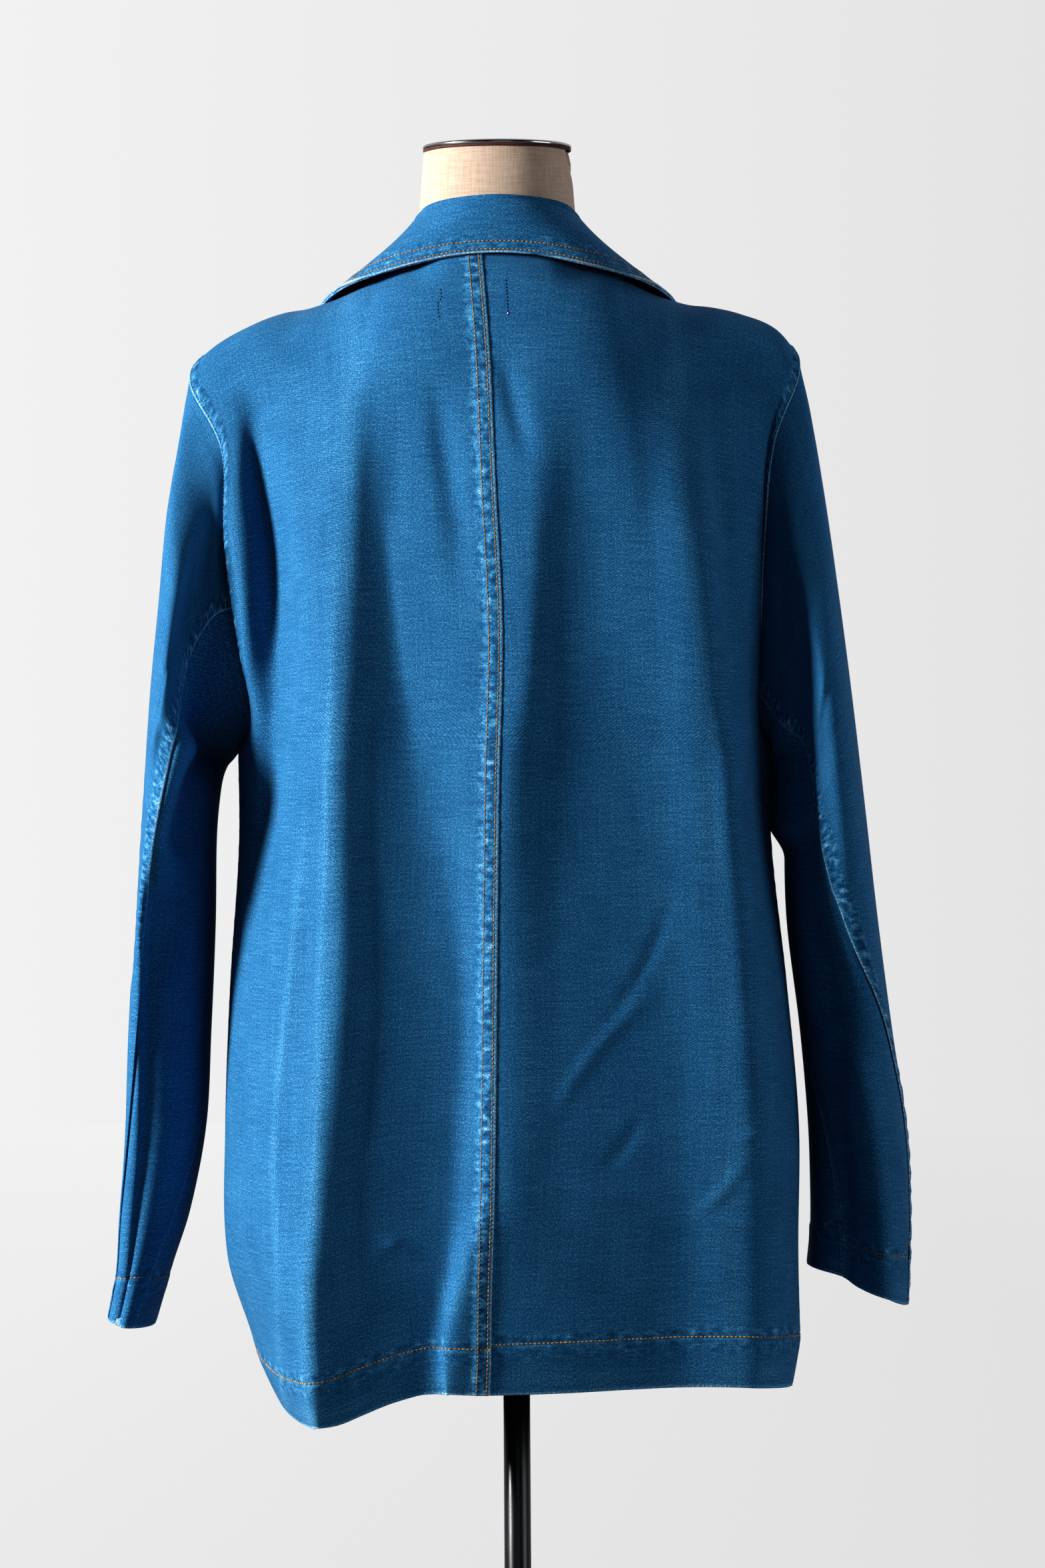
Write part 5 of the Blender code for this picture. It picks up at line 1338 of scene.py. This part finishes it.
# %% Armhole thread and tacking
FINE = 0.55 * MM
TACKS = (
    # back panel, x, and the top and bottom of a short row of tacking left under the collar
    ("back_right", 0.0005, 1.398, 1.370),
    ("back_left", 0.0490, 1.391, 1.367),
)
armholes = [above_underarm(pieces[f"{part}_{side}"], "high", EDGE_ROW)
            for part in ("back", "front") for side in ("left", "right")]
sewing["stitches_armholes"] = stitches("stitches_armholes", armholes, DARK_THREAD_AND_HOLE_SHADE, length=2.2 * MM, thick=FINE)


def down_cloth(piece, x, high, low):
    """A short line straight down the outside of a piece."""
    places, outward = piece.places().reshape(-1, 3), piece.normal.reshape(-1, 3)
    nearest = [int(np.hypot(places[:, 0] - x, places[:, 2] - z).argmin()) for z in np.linspace(high, low, 8)]
    picked = list(dict.fromkeys(nearest))
    return places[picked], outward[picked]


tacks = [down_cloth(pieces[name], *where) for name, *where in TACKS]
sewing["tacks_in_neck"] = stitches("tacks_in_neck", tacks, DARK_THREAD_AND_HOLE_SHADE, length=1.8 * MM, gap=0.9 * MM, thick=FINE)
ends = [(line[-2:], normals[-2:]) for line, normals in tacks]
sewing["tack_knots"] = stitches("tack_knots", ends, TACK, length=1.8 * MM, gap=3.0 * MM, thick=1.0 * MM)

# %% [markdown]
# ## Buttons
# Four-hole buttons, closed through the outer front. The disc is spun from its profile, the holes are drawn as small
# dark wells of painted shade, and crossed thread lies between them.


# %% A shape spun round the upright
def spun(profile, segments=64):
    """A bmesh spun from a (radius, height) profile about +Z."""
    work = bmesh.new()
    points = [work.verts.new((radius, 0.0, height)) for radius, height in profile]
    for start, end in zip(points, points[1:]):
        work.edges.new((start, end))
    bmesh.ops.spin(work, geom=work.verts[:] + work.edges[:], cent=(0, 0, 0), axis=(0, 0, 1), dvec=(0, 0, 0),
                   angle=2 * math.pi, steps=segments, use_merge=True, use_duplicate=False)
    bmesh.ops.remove_doubles(work, verts=work.verts, dist=0.01 * MM)
    bmesh.ops.recalc_face_normals(work, faces=work.faces)
    return work


ring = spun([(0.01, 0.0), (0.01, 0.002)], 12)
print("a spun ring has", len(ring.faces), "faces")
ring.free()

# %% Where a button sits
# radius and height in mm, from the middle of its face over the rim to the middle of its underside
PROFILE = ((0.0, 1.95), (5.6, 1.95), (6.4, 2.1), (7.4, 2.75), (8.4, 3.1), (9.6, 3.2), (10.6, 3.0), (11.2, 2.5),
           (11.5, 1.9), (11.4, 1.2), (10.9, 0.4), (10.3, 0.1), (0.0, 0.1))
BUTTON_RISE = 0.45 * MM
FACE, HOLE_OUT, HOLE_RADIUS, HOLE_DEEP = 1.9 * MM, 1.7 * MM, 1.0 * MM, 0.2 * MM
THREAD_HIGH, THREAD_SIZE = 2.15 * MM, (3.0 * MM, 0.55 * MM, 0.45 * MM, 1.0)


def button_seat(name):
    """The turn and place of a button on the lapped front, at its CAD piece's height."""
    low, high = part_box(name)
    hem = hem_height(-1, -1, np.zeros(1))[0]
    column, row = LAP / (1 + LAP), (((low + high) / 2).z - hem) / (UNDERARM - hem)
    out = Vector(body_outward(-1, -1, column, row))
    turn = out.to_track_quat("Z", "Y").to_matrix().to_4x4()
    return Matrix.Translation(Vector(body_point(-1, -1, column, row)) + out * BUTTON_RISE) @ turn


print("top button at", [round(edge, 3) for edge in button_seat("button_top").translation])

# %% Buttons with their wells of painted shade and crossed thread
for name in ("button_top", "button_middle", "button_bottom"):
    seat = button_seat(name)
    work = spun([(radius * MM, height * MM) for radius, height in PROFILE])
    work.transform(seat)
    disc = finish_piece(f"horn_{name}", work, HORN)
    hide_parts(name)
    # Painted shade: a small dark disc in each hole stands in for the shade inside it.
    work = bmesh.new()
    for x, y in ((1, 1), (-1, 1), (1, -1), (-1, -1)):
        well = Matrix.Translation((x * HOLE_OUT, y * HOLE_OUT, FACE))
        bmesh.ops.create_cone(work, cap_ends=True, segments=16, radius1=HOLE_RADIUS, radius2=HOLE_RADIUS,
                              depth=HOLE_DEEP, matrix=seat @ well)
    hole_shade = finish_piece(f"wells_{name}", work, DARK_THREAD_AND_HOLE_SHADE)
    work = bmesh.new()
    for angle in (45, -45):
        lie = (Matrix.Translation((0, 0, THREAD_HIGH)) @ Matrix.Rotation(math.radians(angle), 4, "Z")
               @ Matrix.Diagonal(THREAD_SIZE))
        bmesh.ops.create_uvsphere(work, u_segments=12, v_segments=8, radius=1.0, matrix=seat @ lie)
    for thing in (disc, hole_shade, finish_piece(f"thread_{name}", work, TOPSTITCH)):
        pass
print("three buttons,", round(2 * max(radius for radius, height in PROFILE)), "mm across")

# %% [markdown]
# ## Dress form
# The torso is one firm, smooth shape under linen. Its CAD mesh is copied, merged, turned back into four-sided
# faces and subdivided, with the neck's rim kept sharp. A madder cord runs round the rim under a polished cap.

# %% Torso
work = bmesh.new()
work.from_mesh(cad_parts["form_torso"].data)
bmesh.ops.remove_doubles(work, verts=work.verts, dist=0.02 * MM)
bmesh.ops.join_triangles(work, faces=work.faces, angle_face_threshold=math.pi, angle_shape_threshold=math.pi,
                         cmp_seam=False, cmp_sharp=False, cmp_uvs=False, cmp_vcols=False, cmp_materials=False)
for layer in list(work.loops.layers.uv):
    work.loops.layers.uv.remove(layer)
neck_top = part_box("form_torso")[1].z
crease = work.edges.layers.float.new("crease_edge")
for edge in work.edges:
    if all(vertex.co.z > neck_top - 0.2 * MM for vertex in edge.verts):
        edge[crease] = 0.7
uv = work.loops.layers.uv.new("cloth")
AXIS = Vector((MIDDLE, -0.004, 0.0))
for face in work.faces:
    angles = [math.atan2(loop.vert.co.x - AXIS.x, loop.vert.co.y - AXIS.y) for loop in face.loops]
    base = angles[0]
    for loop, angle in zip(face.loops, angles):
        angle += 2 * math.pi * round((base - angle) / (2 * math.pi))
        loop[uv].uv = (angle * 0.055, loop.vert.co.z)
torso = finish_piece("linen_torso", work, LINEN)
smooth = torso.modifiers.new("smooth", "SUBSURF")
smooth.levels = smooth.render_levels = 2
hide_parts("form_torso")
print("torso faces", len(torso.data.polygons))

# %% Cap and cord
low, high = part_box("form_cap")
centre, half = (low + high) / 2, (high - low) / 2
edge, cord_radius = half.x / MM, 0.9
CAP = ((0.0, 3.5), (edge - 8, 3.4), (edge - 2.5, 3.1), (edge - 1.0, 2.7), (edge - 0.2, 2.0), (edge, 1.4),
       (edge - 0.2, 0.5), (edge - 0.8, 0.0), (edge - 3.5, 0.0), (0.0, 0.0))
ring = [(edge - 1.2 + 1.0 * math.cos(angle), cord_radius * math.sin(angle) - cord_radius)
        for angle in np.linspace(0, 2 * math.pi, 13)]
for name, profile, finish in (("steel_neck_cap", CAP, STEEL), ("piping_round_neck", ring, PIPING)):
    work = spun([(radius * MM, height * MM) for radius, height in profile], 96)
    bmesh.ops.scale(work, vec=(1.0, half.y / half.x, 1.0), verts=work.verts)
    bmesh.ops.translate(work, vec=(centre.x, centre.y, low.z), verts=work.verts)
    finish_piece(name, work, finish)
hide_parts("form_cap")
print("cap radius", round(edge, 1), "mm")

# %% [markdown]
# ## Stand
# A steel tube in a socket under the form's bottom plate, and a heavy turned base. They are spun from the CAD
# pieces' own sizes with small radii on every edge.


# %% Plate, pole and base
def turned_steel(name, node_name, profile, segments=96):
    thing = finish_piece(name, spun([(radius * MM, height * MM) for radius, height in profile], segments), BLACK)
    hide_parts(node_name)


def sizes_of(name):
    """A round CAD piece's foot, top and radius in mm."""
    low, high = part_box(name)
    return low.z / MM, high.z / MM, high.x / MM


foot, top, wide = sizes_of("form_plate")
turned_steel("plate", "form_plate", (
    (0, top), (wide - 1, top), (wide, top - 1), (wide, top - 5), (wide - 1, top - 6), (31, top - 6),
    (29, top - 7), (23, foot + 1), (22, foot), (0, foot)))
foot, top, wide = sizes_of("stand_pole")
turned_steel("pole", "stand_pole", (
    (0, top), (wide - 0.5, top), (wide, top - 0.5), (wide, foot + 0.5), (wide - 0.5, foot), (0, foot)))
foot, top, wide = sizes_of("stand_base")
turned_steel("base", "stand_base", (
    (0, top), (15.8, top), (17.2, top - 0.8), (21, top - 5), (23.4, 17), (25.5, 12), (30, 9.6), (36, 9),
    (wide - 8, 8.2), (wide - 3, 6.6), (wide - 0.8, 4.2), (wide, 2.2), (wide - 0.6, 0.6), (wide - 2, 0),
    (0, 0)), 128)
print("base", round(2 * wide), "mm across")

# %% [markdown]
# ## Camera, floor and light
# The camera stands four metres behind the blazer at the height of its middle. One large soft box lights it from
# the camera's left, high enough to rake the folds, and a weak fill keeps the shade from going black. The world
# is pale to the eye but dim as a light, so that the folds keep their depth.

# %% Camera
camera = bpy.data.cameras.new("camera")
camera.lens, camera.sensor_fit = 135.0, "VERTICAL"
camera.sensor_width = camera.sensor_height = 36.0
eye = bpy.data.objects.new("camera", camera)
bpy.context.scene.collection.objects.link(eye)
eye.location = (-0.0071, 4.2, 1.043)
eye.rotation_euler = (math.radians(90), math.radians(0.39), math.radians(180))
bpy.context.scene.camera = eye
print("lens", camera.lens, "mm")

# %% Floor
work = bmesh.new()
bmesh.ops.create_grid(work, x_segments=1, y_segments=1, size=14.0)
mesh = bpy.data.meshes.new("floor")
work.to_mesh(mesh)
work.free()
floor = bpy.data.objects.new("floor", mesh)
bpy.context.scene.collection.objects.link(floor)
# Painted light: the camera sees a pale glow instead of the floor's lit grey, a little brighter towards +X, the key's
# side, and further back.
made, tree, shader = material("floor_with_painted_glow", Roughness=0.9, Base_Color=colour("#6c6c6c"))
place = node(tree, "SeparateXYZ", None, node(tree, "TexCoord").outputs["Object"])
near = node(tree, "MapRange", Value=place.outputs["X"], From_Min=-1.0, From_Max=1.0, To_Min=0.90, To_Max=1.00)
far = node(tree, "MapRange", Value=place.outputs["Y"], From_Min=-3.5, From_Max=-13.5, To_Min=0.0, To_Max=0.05)
glow = node(tree, "Emission", Color=colour("#d2d2d2"), Strength=node(tree, "Math", ADD, near, far))
seen = node(tree, "Math", MULTIPLY, node(tree, "LightPath").outputs["Is Camera Ray"], 0.92)
both = node(tree, "MixShader", None, seen, shader, glow)
tree.links.new(both.outputs[0], tree.nodes["Material Output"].inputs["Surface"])
mesh.materials.append(made)
floor.location.z = -0.5 * MM
print("floor", [round(edge) for edge in floor.dimensions], "m")


# %% Lights
def area_light(name, place, target, size, energy, tint):
    lamp = bpy.data.lights.new(name, "AREA")
    lamp.shape, lamp.size, lamp.size_y = "RECTANGLE", *size
    lamp.energy, lamp.color = energy, colour(tint)[:3]
    thing = bpy.data.objects.new(name, lamp)
    bpy.context.scene.collection.objects.link(thing)
    thing.location = place
    aim = Vector(target) - Vector(place)
    thing.rotation_euler = aim.to_track_quat("-Z", "Y").to_euler()


area_light("key", (3.30, 1.42, 2.0), (0.0, 0.0, 1.05), (0.7, 1.0), 200.0, "#ffffff")
area_light("fill", (-0.5, 4.6, 1.9), (0.0, 0.0, 1.05), (2.2, 2.2), 6.0, "#f6faff")
area_light("side_fill", (-3.4, 1.5, 1.5), (0.0, 0.0, 1.05), (2.0, 2.0), 30.0, "#f6faff")

print(len(bpy.data.lights), "lights")

# %% World
world = bpy.data.worlds.new("studio")
bpy.context.scene.world = world
world.use_nodes = True
tree = world.node_tree
tree.nodes.clear()
aim = node(tree, "SeparateXYZ", None, node(tree, "TexCoord").outputs["Generated"])
# Painted light: the backdrop the camera sees is brighter towards +X, the key's side, as a painted falloff.
across = node(tree, "MapRange", Value=aim.outputs["X"], From_Min=-0.12, From_Max=0.12, To_Min=0.86, To_Max=0.99)
behind = node(tree, "MapRange", {"interpolation_type": "SMOOTHSTEP"}, Value=aim.outputs["Y"], From_Min=0.50,
              From_Max=-0.65, To_Min=0.004, To_Max=0.46)
seen = node(tree, "Background", Color=colour("#d2d2d2"), Strength=across)
light = node(tree, "Background", Color=colour("#f2f5ff"), Strength=behind)
both = node(tree, "MixShader", None, node(tree, "LightPath").outputs["Is Camera Ray"], light, seen)
node(tree, "OutputWorld", Surface=both)
bpy.context.scene.view_settings.view_transform = "Standard"
bpy.context.scene.view_settings.look = "High Contrast"
print("world nodes", len(tree.nodes))
